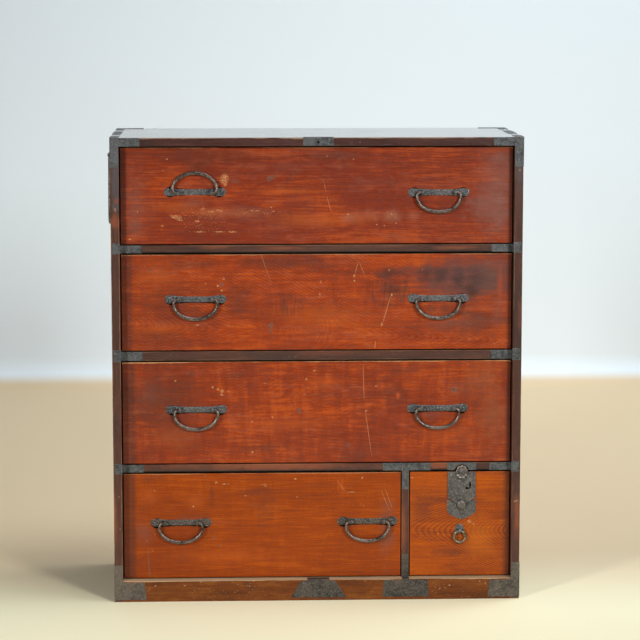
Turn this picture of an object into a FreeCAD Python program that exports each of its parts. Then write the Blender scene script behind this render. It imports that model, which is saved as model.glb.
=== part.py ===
import FreeCAD, Part
import math
import os

# A Japanese clothes chest (tansu) with three wide drawers, one narrower drawer and one small lockable drawer.
# Boards are joined with fingers, tongues and housings; all ironwork is thin forged sheet let into the wood.
# Frame: millimetres, origin on the floor under the middle of the case, +X right, +Z up, the front faces -Y.

V = FreeCAD.Vector
X_AXIS, Y_AXIS, Z_AXIS = V(1, 0, 0), V(0, 1, 0), V(0, 0, 1)

# Case
case_width = 870.0
case_depth = 360.0
case_height = 995.0
side_thick = 18.0
top_thick = 18.0
top_finger_count = 5       # finger joint between top and sides, counted over the depth
base_height = 45.0         # front foot rail
base_rail_thick = 18.0
rear_foot_thick = 18.0
bottom_thick = 12.0
back_thick = 8.0
back_rebate = 9.0          # how far the back boards reach into each side
back_board_count = 3
back_board_gap = 0.5
back_floor_gap = 6.0       # back boards end above the floor
housing = 6.0              # depth of the grooves that hold the inner boards
tenon_length = 8.0
tenon_shoulder = 4.0
foot_tongue = 6.0          # shoulder round the foot rail's stub tenon

# Rails, dust boards and rows, from the bottom up
recess = 20.0              # rails and drawer fronts stand this far behind the case front
rail_depth = 24.0
row_heights = {"low": 234.0, "third": 225.5, "second": 211.0}
rail_low_thick = 16.0
rail_mid_thick = 19.0
rail_top_thick = 16.0
dust_thick = 8.0
small_drawer_width = 219.0  # opening of the small drawer, at the right
partition_thick = 16.0
partition_tongue = 3.0

# Drawers
drawer_side_gap = 2.0
drawer_floor_gap = 2.5     # under the visible front
drawer_head_gap = 3.7      # over the visible front
drawer_slide_gap = 0.3     # under the drawer's walls
drawer_back_gap = 7.0
front_setback = 1.0        # drawer fronts behind the rails
front_thick = 18.0
front_lip = 6.0            # wood left in front of the finger joints
front_round = 1.2
wall_thick = 9.0
wall_drop = 6.0            # walls end this far below the front's top
wall_finger_count = 5
floor_thick = 6.0
floor_lift = 5.0           # clear height under a drawer's floor
floor_groove = 4.0

# Ironwork
iron_thick = 1.2
iron_inlay = 0.4
strip_width = 18.0         # width of the strips on the case edges
corner_leg_x = 63.0
corner_leg_z = 62.0
corner_leg_y = 58.0
rear_leg_x = 60.0
edge_strap_length = 100.0
foot_iron_floor_gap = 4.5
foot_iron_top = 80.0
foot_iron_low_top = 42.0
foot_iron_leg = 64.0
foot_iron_slant = 4.0
foot_iron_side_leg = 60.0
rail_strap_length = 46.0
rail_strap_stile_margin = 2.5
rail_strap_rise = 6.5      # how far the strap on the stile stands above the rail
tee_half_bar = 51.5
tee_bar_shift = 3.0
tee_stem_width = 14.5
tee_stem_drop = 41.5
foot_stem_rise = 50.5
foot_plate_floor_gap = 6.5
foot_plate_top_gap = 2.0
divider_plate_half_low = 50.0
divider_plate_half_top = 47.0
centre_plate_x = 2.0
centre_plate_half_low = 59.5
centre_plate_half_top = 36.0
centre_tab_half = 23.5
cover_plate_x = 2.5
cover_plate_width = 64.0
cover_plate_height = 17.0
cover_plate_tab = 14.0
cover_hole_radius = 2.9
cover_hole_height = 10.0   # below the case top
cover_hole_depth = 14.0
nail_head_radius = 1.7
nail_head_rise = 0.7
nail_radius = 0.8
nail_length = 7.0
nail_margin = 5.0          # nail to the end of its plate
overreach = 10.0           # how far a shape that only cuts runs past the wood

# Drawer pulls
pull_margin = 159.0        # pull's middle to the end of a wide drawer's opening
pull_lift = 7.0            # pull above the middle of its drawer front
low_pull_left_margin = 124.5   # the low drawer's pulls, from the ends of its opening
low_pull_right_margin = 73.5
plate_half = 65.0
plate_lobe = 8.2
plate_waist = 5.8
plate_shoulder = 44.0      # where the waist's curve meets the lobe
plate_drop = 1.1           # plate's middle below the pivots
eye_half_pitch = 35.0
pivot_stand_off = 9.0      # pivot axis in front of the wood
eye_radius = 5.4
eye_width = 3.6
pin_radius = 1.9
pin_clench = 12.0
pin_clench_thick = 2.0
bail_end_radius = 2.7
bail_mid_radius = 4.2
bail_clearance = 0.4       # bail end in its eye
bail_tip_inside = 4.0      # bail end past the eye's middle
bail_straight = 4.0        # eye's middle to the start of the bend
bail_half = 46.4
bail_shoulder = 9.0
bail_depth = 41.8
bail_rest_gap = 0.3
bail_end_turns = 5
bail_arc_turns = 16

# Side handles
side_pivot_drop = 43.5     # below the case top
side_pivot_stand_off = 6.0
side_half_pitch = 55.0
side_bail_half = 65.0
side_bail_drop = 146.0
side_bail_corner = 26.0
side_end_radius = 3.0
side_mid_radius = 4.3
side_eye_radius = 5.2
side_rose_radius = 11.0
side_pin_clench = 6.0

# Small drawer's lock and ring
lock_shift = 3.5           # lock's middle right of the small drawer's middle
lock_half = 30.0
lock_thick = 3.0
lock_shoulder = 56.0       # drawer front's top down to the slanted corners
lock_corner = 69.0         # drawer front's top down to the end of the slanted corners
lock_bottom = 77.0         # drawer front's top down to the plate's blunt point
lock_slant = 19.0
lock_ear_radius = 12.4
rosette_half_width = 12.8
rosette_half_height = 14.6
rosette_petals = 9
rosette_petal_radius = 4.6
rosette_thick = 2.6
rosette_boss_radius = 6.0
rosette_boss_rise = 1.6
strike_half = 31.0
strike_notch = 15.8
strike_notch_depth = 4.0
foot_lobe_half = 31.0
foot_lobe_top = 62.5
foot_lobe_side = 80.0
foot_lobe_shoulder = 97.5
foot_lobe_shoulder_x = 18.0
foot_lobe_point = 105.0
button_drop = 72.0         # drawer front's top down to the button
button_radius = 8.0
button_thick = 4.6
button_gap = 0.4
shank_radius = 2.5
shank_gap = 0.5
bolt_travel = 5.0
bolt_rest_rise = 2.4       # bolt above the drawer front's top when unlocked
bolt_foot = 5.0            # bolt below the button's middle
bolt_width = 14.0
bolt_thick = 4.0
bolt_gap = 0.6
lock_case_width = 50.0
lock_case_thick = 10.0
lock_case_height = 74.0
lock_case_wall = 1.4
lock_case_drop = 6.0       # case below the drawer front's top
keyhole_x = 18.5           # right of the lock's middle
keyhole_drop = 30.5
keyhole_radius = 2.3
keyhole_foot = 8.0
keyhole_width = 2.4
keyhole_height = 13.0
ring_shift = -0.5
ring_centre_drop = 141.0   # drawer front's top down to the ring's middle
ring_radius = 12.2
ring_wire = 3.1
ring_stand_off = 8.3
ring_eye_radius = 6.2
ring_eye_gap = 0.6
ring_eye_width = 4.0
bell_half_low = 10.6
bell_half_top = 6.4
bell_height = 16.0
bell_drop = 1.5            # bell's lower edge below the ring's pivot

half_width = case_width / 2
half_depth = case_depth / 2
inner_half = half_width - side_thick
case_front = -half_depth
case_back = half_depth
rail_front = case_front + recess
rail_back = rail_front + rail_depth
back_inner = case_back - back_thick
case_ceiling = case_height - top_thick
side_reach = half_width + overreach
front_reach = case_front - overreach
back_reach = case_back + overreach
top_reach = case_height + overreach
drawer_front = rail_front + front_setback
iron_proud = iron_thick - iron_inlay

row_low_top = base_height + row_heights["low"]
rail_low_top = row_low_top + rail_low_thick
row_third_top = rail_low_top + row_heights["third"]
rail_mid_top = row_third_top + rail_mid_thick
row_second_top = rail_mid_top + row_heights["second"]
rail_top_top = row_second_top + rail_top_thick
rails = {
    "rail_upper": (row_second_top, rail_top_top),
    "rail_middle": (row_third_top, rail_mid_top),
    "rail_lower": (row_low_top, rail_low_top),
}
partition_right = inner_half - small_drawer_width
partition_left = partition_right - partition_thick
partition_x = (partition_left + partition_right) / 2
lock_x = (partition_right + inner_half) / 2 + lock_shift
ring_x = (partition_right + inner_half) / 2 + ring_shift
side_pivot_height = case_height - side_pivot_drop

# name: left, right, floor and ceiling of the drawer's opening, and its pulls' x
wide_pulls = (-inner_half + pull_margin, inner_half - pull_margin)
low_pulls = (-inner_half + low_pull_left_margin, partition_left - low_pull_right_margin)
drawer_openings = {
    "drawer_1": (-inner_half, inner_half, rail_top_top, case_ceiling, wide_pulls),
    "drawer_2": (-inner_half, inner_half, rail_mid_top, row_second_top, wide_pulls),
    "drawer_3": (-inner_half, inner_half, rail_low_top, row_third_top, wide_pulls),
    "drawer_4": (-inner_half, partition_left, base_height, row_low_top, low_pulls),
    "drawer_5": (partition_right, inner_half, base_height, row_low_top, ()),
}
lifted_bail = "drawer_1_bail_left"   # this bail is stored swung up

nodes = {}


def box(x0, x1, y0, y1, z0, z1):
    return Part.makeBox(x1 - x0, y1 - y0, z1 - z0, V(x0, y0, z0))


def fuse(shapes):
    joined = shapes[0]
    for shape in shapes[1:]:
        joined = joined.fuse(shape)
    return joined.removeSplitter()


def cut(shape, tools):
    """shape less every tool that comes near it."""
    for tool in tools:
        if shape.BoundBox.intersect(tool.BoundBox):
            shape = shape.cut(tool)
    return shape


def mirror_x(shape):
    return shape.mirror(V(0, 0, 0), X_AXIS)


def mirror_y(shape):
    return shape.mirror(V(0, 0, 0), Y_AXIS)


def prism(points, y0, y1):
    """A flat plate: the outline in x and z, from y0 to y1."""
    outline = Part.makePolygon([V(x, y0, z) for x, z in points + points[:1]])
    return Part.Face(outline).extrude(V(0, y1 - y0, 0))


def outline_plate(edges, y0, y1):
    """A flat plate from edges drawn in the plane y0."""
    face = Part.Face(Part.Wire(Part.__sortEdges__(edges)))
    return face.extrude(V(0, y1 - y0, 0))


def rod_y(radius, x, z, y0, y1):
    return Part.makeCylinder(radius, y1 - y0, V(x, y0, z), Y_AXIS)


def rod_x(radius, y, z, x0, x1):
    return Part.makeCylinder(radius, x1 - x0, V(x0, y, z), X_AXIS)


def finger_spans(start, end, count):
    """The second, fourth, ... of count equal spans."""
    step = (end - start) / count
    return [(start + i * step, start + (i + 1) * step) for i in range(1, count, 2)]


# Ironwork on the case: a thin shell round the case's box, cut to each iron's outline

def case_shell():
    outer = box(-half_width - iron_proud, half_width + iron_proud, case_front - iron_proud,
                case_back + iron_proud, 0, case_height + iron_proud)
    inner = box(-half_width + iron_inlay, half_width - iron_inlay, case_front + iron_inlay,
                case_back - iron_inlay, -1, case_height - iron_inlay)
    return outer.cut(inner)


def shell_iron(shell, regions):
    return shell.common(fuse(regions)).removeSplitter()


def top_corner_iron(shell):
    """Left front corner: two strips on the front, one over the top edge and one down the side."""
    edge = -half_width + strip_width
    post = box(-side_reach, edge, front_reach, case_front + strip_width,
               case_height - corner_leg_z, top_reach)
    bar = box(-side_reach, -half_width + corner_leg_x, front_reach, case_front + iron_inlay,
              case_ceiling, case_height)
    ridge = box(-side_reach, edge, front_reach, case_front + corner_leg_y, case_ceiling, top_reach)
    return shell_iron(shell, [post, bar, ridge])


def rear_corner_iron(shell):
    ridge = box(-side_reach, -half_width + strip_width, case_back - corner_leg_y, back_reach,
                case_ceiling, top_reach)
    bar = box(-side_reach, -half_width + rear_leg_x, case_back - strip_width, back_reach,
              case_ceiling, top_reach)
    return shell_iron(shell, [ridge, bar])


def edge_strap(shell):
    return shell_iron(shell, [box(-side_reach, -half_width + strip_width, -edge_strap_length / 2,
                                  edge_strap_length / 2, case_ceiling, top_reach)])


def foot_corner_iron(shell):
    """Left foot: a post strip round the corner, a slanted plate on the front and a leg on the side."""
    low = foot_iron_floor_gap
    post = box(-side_reach, -half_width + strip_width, front_reach, case_front + strip_width,
               low, foot_iron_top)
    leg_end = -half_width + foot_iron_leg
    plate = prism([(-side_reach, low), (leg_end + foot_iron_slant, low), (leg_end, foot_iron_low_top),
                   (-side_reach, foot_iron_low_top)], front_reach, case_front + iron_inlay)
    side_leg = box(-side_reach, -half_width + iron_inlay, front_reach, case_front + foot_iron_side_leg,
                   low, foot_iron_low_top)
    return shell_iron(shell, [post, plate, side_leg])


def rail_strap(low, high):
    """Left strap: flat on the stile, back along its inner face, then flat on the rail."""
    on_stile = box(-half_width + rail_strap_stile_margin, -inner_half + iron_thick, case_front - iron_proud,
                   case_front + iron_inlay, low, high + rail_strap_rise)
    inward = box(-inner_half, -inner_half + iron_thick, case_front - iron_proud,
                 rail_front + iron_inlay, low, high)
    on_rail = box(-inner_half, -inner_half + rail_strap_length, rail_front - iron_proud,
                  rail_front + iron_inlay, low, high)
    return fuse([on_stile, inward, on_rail])


def tee_strap():
    low, high = rails["rail_lower"]
    middle = partition_x + tee_bar_shift
    y0, y1 = rail_front - iron_proud, rail_front + iron_inlay
    bar = box(middle - tee_half_bar, middle + tee_half_bar, y0, y1, low, high)
    half = tee_stem_width / 2
    stem = box(partition_x - half, partition_x + half, y0, y1, low - tee_stem_drop, low)
    return fuse([bar, stem])


def foot_plate(x, half_low, half_top, y0, y1):
    top = base_height - foot_plate_top_gap
    return prism([(x - half_low, foot_plate_floor_gap), (x + half_low, foot_plate_floor_gap),
                  (x + half_top, top), (x - half_top, top)], y0, y1)


def divider_foot_strap():
    """Stem on the divider's edge, over the foot rail's top and down into a plate on its front."""
    half = tee_stem_width / 2
    y_out, y_in = case_front - iron_proud, case_front + iron_inlay
    stem = box(partition_x - half, partition_x + half, rail_front - iron_proud, rail_front + iron_inlay,
               base_height - iron_inlay, base_height + foot_stem_rise)
    across = box(partition_x - half, partition_x + half, y_out, rail_front + iron_inlay,
                 base_height - iron_inlay, base_height + iron_proud)
    neck = box(partition_x - half, partition_x + half, y_out, y_in,
               base_height - foot_plate_top_gap - 1, base_height + iron_proud)
    plate = foot_plate(partition_x, divider_plate_half_low, divider_plate_half_top, y_out, y_in)
    return fuse([stem, across, neck, plate])


def centre_foot_plate():
    """Plate in the middle of the foot rail, with a tab that folds over the rail's top."""
    y_out, y_in = case_front - iron_proud, case_front + iron_inlay
    plate = foot_plate(centre_plate_x, centre_plate_half_low, centre_plate_half_top, y_out, y_in)
    tab_left, tab_right = centre_plate_x - centre_tab_half, centre_plate_x + centre_tab_half
    neck = box(tab_left, tab_right, y_out, y_in, base_height - foot_plate_top_gap - 1,
               base_height + iron_proud)
    tab = box(tab_left, tab_right, y_out, case_front + base_rail_thick,
              base_height - iron_inlay, base_height + iron_proud)
    return fuse([plate, neck, tab])


def cover_lock_plate():
    """Angle plate at the top's front edge, with the hole that a removable cover's pin locked into."""
    left, right = cover_plate_x - cover_plate_width / 2, cover_plate_x + cover_plate_width / 2
    y_out, y_in = case_front - iron_proud, case_front + iron_inlay
    z_top = case_height + iron_proud
    face = box(left, right, y_out, y_in, case_height - cover_plate_height, z_top)
    tab = box(left, right, y_out, case_front + cover_plate_tab, case_height - iron_inlay, z_top)
    return fuse([face, tab]).cut(cover_hole())


def cover_hole():
    return rod_y(cover_hole_radius, cover_plate_x, case_height - cover_hole_height,
                 case_front - iron_proud - 1, case_front + cover_hole_depth)


def lock_front_top():
    return row_low_top - drawer_head_gap


def strike_plate():
    low, high = rails["rail_lower"]
    plate = box(lock_x - strike_half, lock_x + strike_half, rail_front - iron_proud,
                rail_front + iron_inlay, low, high)
    return plate.cut(strike_notch_tool())


def strike_notch_tool():
    """The round notch in the lower rail and its plate that clears the lock's ear."""
    return rod_y(strike_notch, lock_x, lock_front_top(), rail_front - iron_proud - 1,
                 rail_front + strike_notch_depth)


def nail(x, y, z, direction, surface):
    """A nail driven along direction; surface is how far out of the point its head's underside lies."""
    out = direction * -1
    start = V(x, y, z) + out * surface
    head = Part.makeCylinder(nail_head_radius, nail_head_rise, start, out)
    shank = Part.makeCylinder(nail_radius, nail_length, start, direction)
    return fuse([head, shank])


def case_nails():
    found = []
    into = V(0, 1, 0)
    z_strip = case_height - top_thick / 2
    far_x = half_width - corner_leg_x + nail_margin
    strip_x = half_width - strip_width / 2
    foot_low = foot_iron_floor_gap + nail_margin
    for sign in (-1, 1):
        for x, z in ((far_x, z_strip), (strip_x, case_height - corner_leg_z + nail_margin),
                     (strip_x, foot_iron_top - nail_margin),
                     (half_width - foot_iron_leg + nail_margin, foot_iron_low_top - nail_margin),
                     (half_width - foot_iron_leg + nail_margin, foot_low)):
            found.append(nail(sign * x, case_front, z, into, iron_proud))
        for low, high in rails.values():
            end_x = inner_half - rail_strap_length + nail_margin
            found.append(nail(sign * end_x, rail_front, (low + high) / 2, into, iron_proud))
            stile_x = half_width - rail_strap_stile_margin - nail_margin
            found.append(nail(sign * stile_x, case_front, (low + high) / 2, into, iron_proud))
        for y in (-edge_strap_length / 2 + nail_margin, edge_strap_length / 2 - nail_margin,
                  case_front + corner_leg_y - nail_margin, case_back - corner_leg_y + nail_margin):
            found.append(nail(sign * strip_x, y, case_height, V(0, 0, -1), iron_proud))
            found.append(nail(sign * half_width, y, z_strip, V(-sign, 0, 0), iron_proud))
    low, high = rails["rail_lower"]
    tee_reach = tee_half_bar - nail_margin
    for x in (-tee_reach, tee_reach):
        found.append(nail(partition_x + tee_bar_shift + x, rail_front, (low + high) / 2, into, iron_proud))
    found.append(nail(partition_x, rail_front, low - tee_stem_drop + nail_margin, into, iron_proud))
    found.append(nail(partition_x, rail_front, base_height + foot_stem_rise - nail_margin, into, iron_proud))
    for x in (-strike_half + nail_margin, strike_half - nail_margin):
        found.append(nail(lock_x + x, rail_front, (low + high) / 2, into, iron_proud))
    for x in (-cover_plate_width / 2 + nail_margin, cover_plate_width / 2 - nail_margin):
        found.append(nail(cover_plate_x + x, case_front, z_strip, into, iron_proud))
    plate_top = base_height - foot_plate_top_gap
    for x, half_low, half_top in ((partition_x, divider_plate_half_low, divider_plate_half_top),
                                  (centre_plate_x, centre_plate_half_low, centre_plate_half_top)):
        for sign in (-1, 1):
            found.append(nail(x + sign * (half_top - nail_margin), case_front, plate_top - nail_margin,
                              into, iron_proud))
            found.append(nail(x + sign * (half_low - 2 * nail_margin), case_front,
                              foot_plate_floor_gap + nail_margin, into, iron_proud))
    return found


# Case boards

def rail_board(low, high):
    body = box(-inner_half, inner_half, rail_front, rail_back, low, high)
    reach = inner_half + tenon_length
    tenon = box(-reach, reach, rail_front + tenon_shoulder, rail_back - tenon_shoulder,
                low + tenon_shoulder, high - tenon_shoulder)
    return fuse([body, tenon])


def dust_board(high):
    reach = inner_half + housing
    return box(-reach, reach, rail_back, back_inner, high - dust_thick, high)


def bottom_board():
    reach = inner_half + housing
    return box(-reach, reach, case_front + base_rail_thick, back_inner, base_height - bottom_thick, base_height)


def foot_rail():
    y0, y1 = case_front, case_front + base_rail_thick
    body = box(-inner_half, inner_half, y0, y1, 0, base_height)
    reach = inner_half + tenon_length
    tenon = box(-reach, reach, y0 + foot_tongue, y1 - foot_tongue, foot_tongue, base_height - foot_tongue)
    return fuse([body, tenon])


def rear_foot_rail():
    return box(-inner_half, inner_half, back_inner - rear_foot_thick, back_inner, 0, base_height - bottom_thick)


def divider():
    """Upright board between the two low drawers, tongued into the bottom board and the dust board above."""
    low_z, high_z = row_low_top, rail_low_top - dust_thick
    front_part = box(partition_left, partition_right, rail_front, rail_back, base_height, low_z)
    rear_part = box(partition_left, partition_right, rail_back, back_inner, base_height, high_z)
    inset = partition_thick / 4
    tongue = box(partition_left + inset, partition_right - inset, rail_back, back_inner,
                 base_height - partition_tongue, high_z + partition_tongue)
    return fuse([front_part, rear_part, tongue])


def back_boards():
    reach = inner_half + back_rebate
    step = (case_ceiling - back_floor_gap) / back_board_count
    lows = [back_floor_gap + i * step for i in range(back_board_count)]
    return [box(-reach, reach, back_inner, case_back, low + (back_board_gap if i else 0), low + step)
            for i, low in enumerate(lows)]


def side_board():
    """Left side, whole; the boards it holds are cut out of it later."""
    body = box(-half_width, -inner_half, case_front, case_back, 0, case_ceiling)
    tongues = [box(-half_width, -inner_half, y0, y1, case_ceiling, case_height)
               for y0, y1 in finger_spans(case_front, case_back, top_finger_count)]
    return fuse([body] + tongues)


def make_case(nails):
    shell = case_shell()
    top_irons = [top_corner_iron(shell)]
    rear_irons = [rear_corner_iron(shell), edge_strap(shell)]
    foot_irons = [foot_corner_iron(shell)]
    straps = [rail_strap(low, high) for low, high in rails.values()]
    irons = {
        "top_corner_irons": top_irons + [mirror_x(s) for s in top_irons],
        "foot_corner_irons": foot_irons + [mirror_x(s) for s in foot_irons],
        "top_edge_irons": rear_irons + [mirror_x(s) for s in rear_irons],
        "rail_straps": straps + [mirror_x(s) for s in straps],
        "tee_strap": [tee_strap()],
        "foot_plates": [divider_foot_strap(), centre_foot_plate()],
        "cover_lock_plate": [cover_lock_plate()],
        "strike_plate": [strike_plate()],
    }
    iron_solids = [s for group in irons.values() for s in group]
    for name, group in irons.items():
        nodes[name] = [cut(s, nails) for s in group]
    nodes["iron_nails"] = nails

    rail_boards = {name: rail_board(low, high) for name, (low, high) in rails.items()}
    dust_boards = [dust_board(high) for low, high in rails.values()]
    floor_board, front_foot, rear_foot = bottom_board(), foot_rail(), rear_foot_rail()
    middle, backs = divider(), back_boards()
    held = list(rail_boards.values()) + dust_boards + [floor_board, front_foot] + backs
    handle_pins = side_handle_pins()
    fixings = iron_solids + nails + handle_pins
    left = side_board()
    nodes["side_left"] = [cut(left, held + fixings)]
    nodes["side_right"] = [cut(mirror_x(left), held + fixings)]
    whole_top = box(-half_width, half_width, case_front, case_back, case_ceiling, case_height)
    nodes["top_board"] = [cut(whole_top, [left, mirror_x(left), cover_hole()] + fixings)]
    nodes["bottom_board"] = [cut(floor_board, [middle] + fixings)]
    nodes["foot_rail_front"] = [cut(front_foot, fixings)]
    nodes["foot_rail_rear"] = [rear_foot]
    nodes["back_boards"] = [cut(b, fixings) for b in backs]
    for name, board in rail_boards.items():
        notch = [strike_notch_tool(), bolt_mortise()] if name == "rail_lower" else []
        nodes[name] = [cut(board, fixings + notch)]
    nodes["dust_boards"] = [cut(b, [middle]) for b in dust_boards]
    nodes["divider"] = [cut(middle, fixings)]
    nodes["side_handle_pins"] = handle_pins


# Bails: a rod that swells in the middle, its ends turned in through two eyes

def swept_rod(points, tangents, radii):
    rings = [Part.Wire([Part.Edge(Part.Circle(p, t, r))]) for p, t, r in zip(points, tangents, radii)]
    return Part.makeLoft(rings, True, False)


def swell(share, end_radius, mid_radius):
    """Rod radius at a share of its length: thin at both ends, full in the middle."""
    return end_radius + (mid_radius - end_radius) * math.sin(math.pi * share) ** 1.5


def bail_path():
    """Points and tangents from one bend's start to the other, in x and z, hanging from z 0."""
    bend_x = eye_half_pitch + bail_straight
    small_x, small_z = bail_half - bend_x, bail_shoulder
    big_z = bail_depth - bail_shoulder
    path = []
    for i in range(bail_end_turns):
        a = math.pi / 2 * i / bail_end_turns
        path.append((bend_x + small_x * math.sin(a), -small_z * (1 - math.cos(a)),
                     small_x * math.cos(a), -small_z * math.sin(a)))
    for i in range(bail_arc_turns + 1):
        a = math.pi * i / bail_arc_turns
        path.append((bail_half * math.cos(a), -bail_shoulder - big_z * math.sin(a),
                     -bail_half * math.sin(a), -big_z * math.cos(a)))
    mirrored = [(-x, z, tx, -tz) for x, z, tx, tz in path[:bail_end_turns]]
    return path + mirrored[::-1]


def bail():
    """Pivot axis along x at the origin, hanging down, in the plane y 0."""
    path = bail_path()
    points = [V(x, 0, z) for x, z, tx, tz in path]
    tangents = [V(tx, 0, tz) for x, z, tx, tz in path]
    last = len(path) - 1
    radii = [swell(i / last, bail_end_radius, bail_mid_radius) for i in range(len(path))]
    bend_x = eye_half_pitch + bail_straight
    tip_x = eye_half_pitch - bail_tip_inside
    ends = [rod_x(bail_end_radius, 0, 0, tip_x, bend_x), rod_x(bail_end_radius, 0, 0, -bend_x, -tip_x)]
    return fuse([swept_rod(points, tangents, radii)] + ends)


def bail_lean():
    """Degrees that a bail leans in before its middle meets the wood."""
    room = pivot_stand_off - bail_mid_radius - bail_rest_gap
    return math.degrees(math.asin(room / bail_depth))


def eye_pin(stand_off, ring_radius_out, hole_radius, width, reach, clench):
    """Eye with its hole along x at the origin, a shank along +y and a clenched tail behind the board."""
    ring = rod_x(ring_radius_out, 0, 0, -width / 2, width / 2)
    shank = rod_y(pin_radius, 0, 0, 0, stand_off + reach + pin_clench_thick)
    tail = box(-pin_radius, pin_radius, stand_off + reach, stand_off + reach + pin_clench_thick, 0, clench)
    hole = rod_x(hole_radius, 0, 0, -width, width)
    return fuse([ring, shank, tail]).cut(hole)


def pull_plate(y0, y1):
    """Plate with a waist and two round lobes, its middle at x 0, z 0."""
    edges = []
    for sign in (1, -1):
        waist = [V(-plate_shoulder, y0, sign * plate_lobe), V(0, y0, sign * plate_waist),
                 V(plate_shoulder, y0, sign * plate_lobe)]
        edges.append(Part.Arc(*waist).toShape())
        corner_x, corner_z = plate_half - plate_lobe * 0.35, plate_lobe * 0.72
        lobe = [V(sign * plate_shoulder, y0, plate_lobe), V(sign * corner_x, y0, corner_z),
                V(sign * plate_half, y0, 0)]
        edges.append(Part.Arc(*lobe).toShape())
        lobe = [V(p.x, p.y, -p.z) for p in lobe]
        edges.append(Part.Arc(*lobe).toShape())
    return outline_plate(edges, y0, y1)


def pull_height(name):
    left, right, low, high, pulls = drawer_openings[name]
    return (low + drawer_floor_gap + high - drawer_head_gap) / 2 + pull_lift


def make_pulls(name):
    """Plates, eye pins and bails of one drawer. Returns what passes through the drawer front."""
    z = pull_height(name)
    pivot_y = drawer_front - pivot_stand_off
    fixed, through = [], []
    for side, x in zip(("left", "right"), drawer_openings[name][4]):
        flipped = f"{name}_bail_{side}" == lifted_bail
        plate_z = z + plate_drop if flipped else z - plate_drop
        pins = [eye_pin(pivot_stand_off, eye_radius, bail_end_radius + bail_clearance, eye_width,
                        front_thick, pin_clench) for _ in (0, 1)]
        for pin, dx in zip(pins, (-eye_half_pitch, eye_half_pitch)):
            pin.translate(V(x + dx, pivot_y, z))
        plate = pull_plate(drawer_front - iron_proud, drawer_front + iron_inlay)
        plate.translate(V(x, 0, plate_z))
        fixed += [cut(plate, pins)] + pins
        through += [plate] + pins
        swinging = bail()
        if flipped:
            swinging.rotate(V(0, 0, 0), X_AXIS, -(180 + bail_lean()))
        swinging.translate(V(x, pivot_y, z))
        nodes[f"{name}_bail_{side}"] = [swinging]
    nodes[f"{name}_pull_irons"] = fixed
    return through


# Side handles: long U-shaped bails that swing up past the top to take a carrying pole

def side_bail():
    """Pivot axis along x at the origin, hanging down in the plane y 0."""
    bend = side_bail_half - side_half_pitch
    straight = side_half_pitch
    path = []
    steps = 5
    for i in range(steps):
        a = math.pi / 2 * i / steps
        path.append((straight + bend * math.sin(a), -bend * (1 - math.cos(a)), math.cos(a), -math.sin(a)))
    run = side_bail_drop - bend - side_bail_corner
    for i in range(steps):
        path.append((side_bail_half, -bend - run * i / steps, 0, -1))
    for i in range(steps + 1):
        a = math.pi / 2 * i / steps
        path.append((side_bail_half - side_bail_corner * (1 - math.cos(a)),
                     -bend - run - side_bail_corner * math.sin(a), -math.sin(a), -math.cos(a)))
    half_bar = side_bail_half - side_bail_corner
    for i in range(1, 3):
        path.append((half_bar * (1 - i / 3), -side_bail_drop, -1, 0))
    mirrored = [(-x, z, tx, -tz) for x, z, tx, tz in path]
    path = path + [(0, -side_bail_drop, -1, 0)] + mirrored[::-1]
    lengths = [0.0]
    for a, b in zip(path, path[1:]):
        lengths.append(lengths[-1] + math.hypot(b[0] - a[0], b[1] - a[1]))
    radii = [swell(s / lengths[-1], side_end_radius, side_mid_radius) for s in lengths]
    points = [V(x, 0, z) for x, z, tx, tz in path]
    tangents = [V(tx, 0, tz) for x, z, tx, tz in path]
    tip = side_half_pitch - bail_tip_inside - eye_width / 2
    ends = [rod_x(side_end_radius, 0, 0, tip, straight), rod_x(side_end_radius, 0, 0, -straight, -tip)]
    return fuse([swept_rod(points, tangents, radii)] + ends)


def place_on_left_side(shape):
    """Turns a shape whose front is -y so that its front is -x, and puts it on the left side."""
    shape.rotate(V(0, 0, 0), Z_AXIS, -90)
    shape.translate(V(-half_width - side_pivot_stand_off, 0, side_pivot_height))
    return shape


def side_handle_pins():
    """Four eye pins, each with a round washer between its eye and the side."""
    pins = []
    for y in (-side_half_pitch + eye_width, side_half_pitch - eye_width):
        pin = eye_pin(side_pivot_stand_off, side_eye_radius, side_end_radius + bail_clearance, eye_width,
                      side_thick - pin_clench_thick, side_pin_clench)
        pin.translate(V(y, 0, 0))
        rose = rod_y(side_rose_radius, y, 0, side_pivot_stand_off - iron_proud,
                     side_pivot_stand_off + iron_inlay)
        pins += [place_on_left_side(pin), place_on_left_side(rose.cut(pin))]
    return pins + [mirror_x(p) for p in pins]


def make_side_handles():
    left = place_on_left_side(side_bail())
    nodes["side_handle_left"] = [left]
    nodes["side_handle_right"] = [mirror_x(left)]


# Lock and ring of the small drawer

def lock_plate_outline(y0, y1):
    top = lock_front_top()
    low = top - lock_bottom
    shoulder = top - lock_shoulder
    left, right = lock_x - lock_half, lock_x + lock_half
    corner = top - lock_corner
    plate = prism([(left, top), (left, shoulder), (left + lock_slant, corner), (lock_x, low),
                   (right - lock_slant, corner), (right, shoulder), (right, top)], y0, y1)
    ear = rod_y(lock_ear_radius, lock_x, top, y0, y1)
    return fuse([plate, ear])


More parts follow.
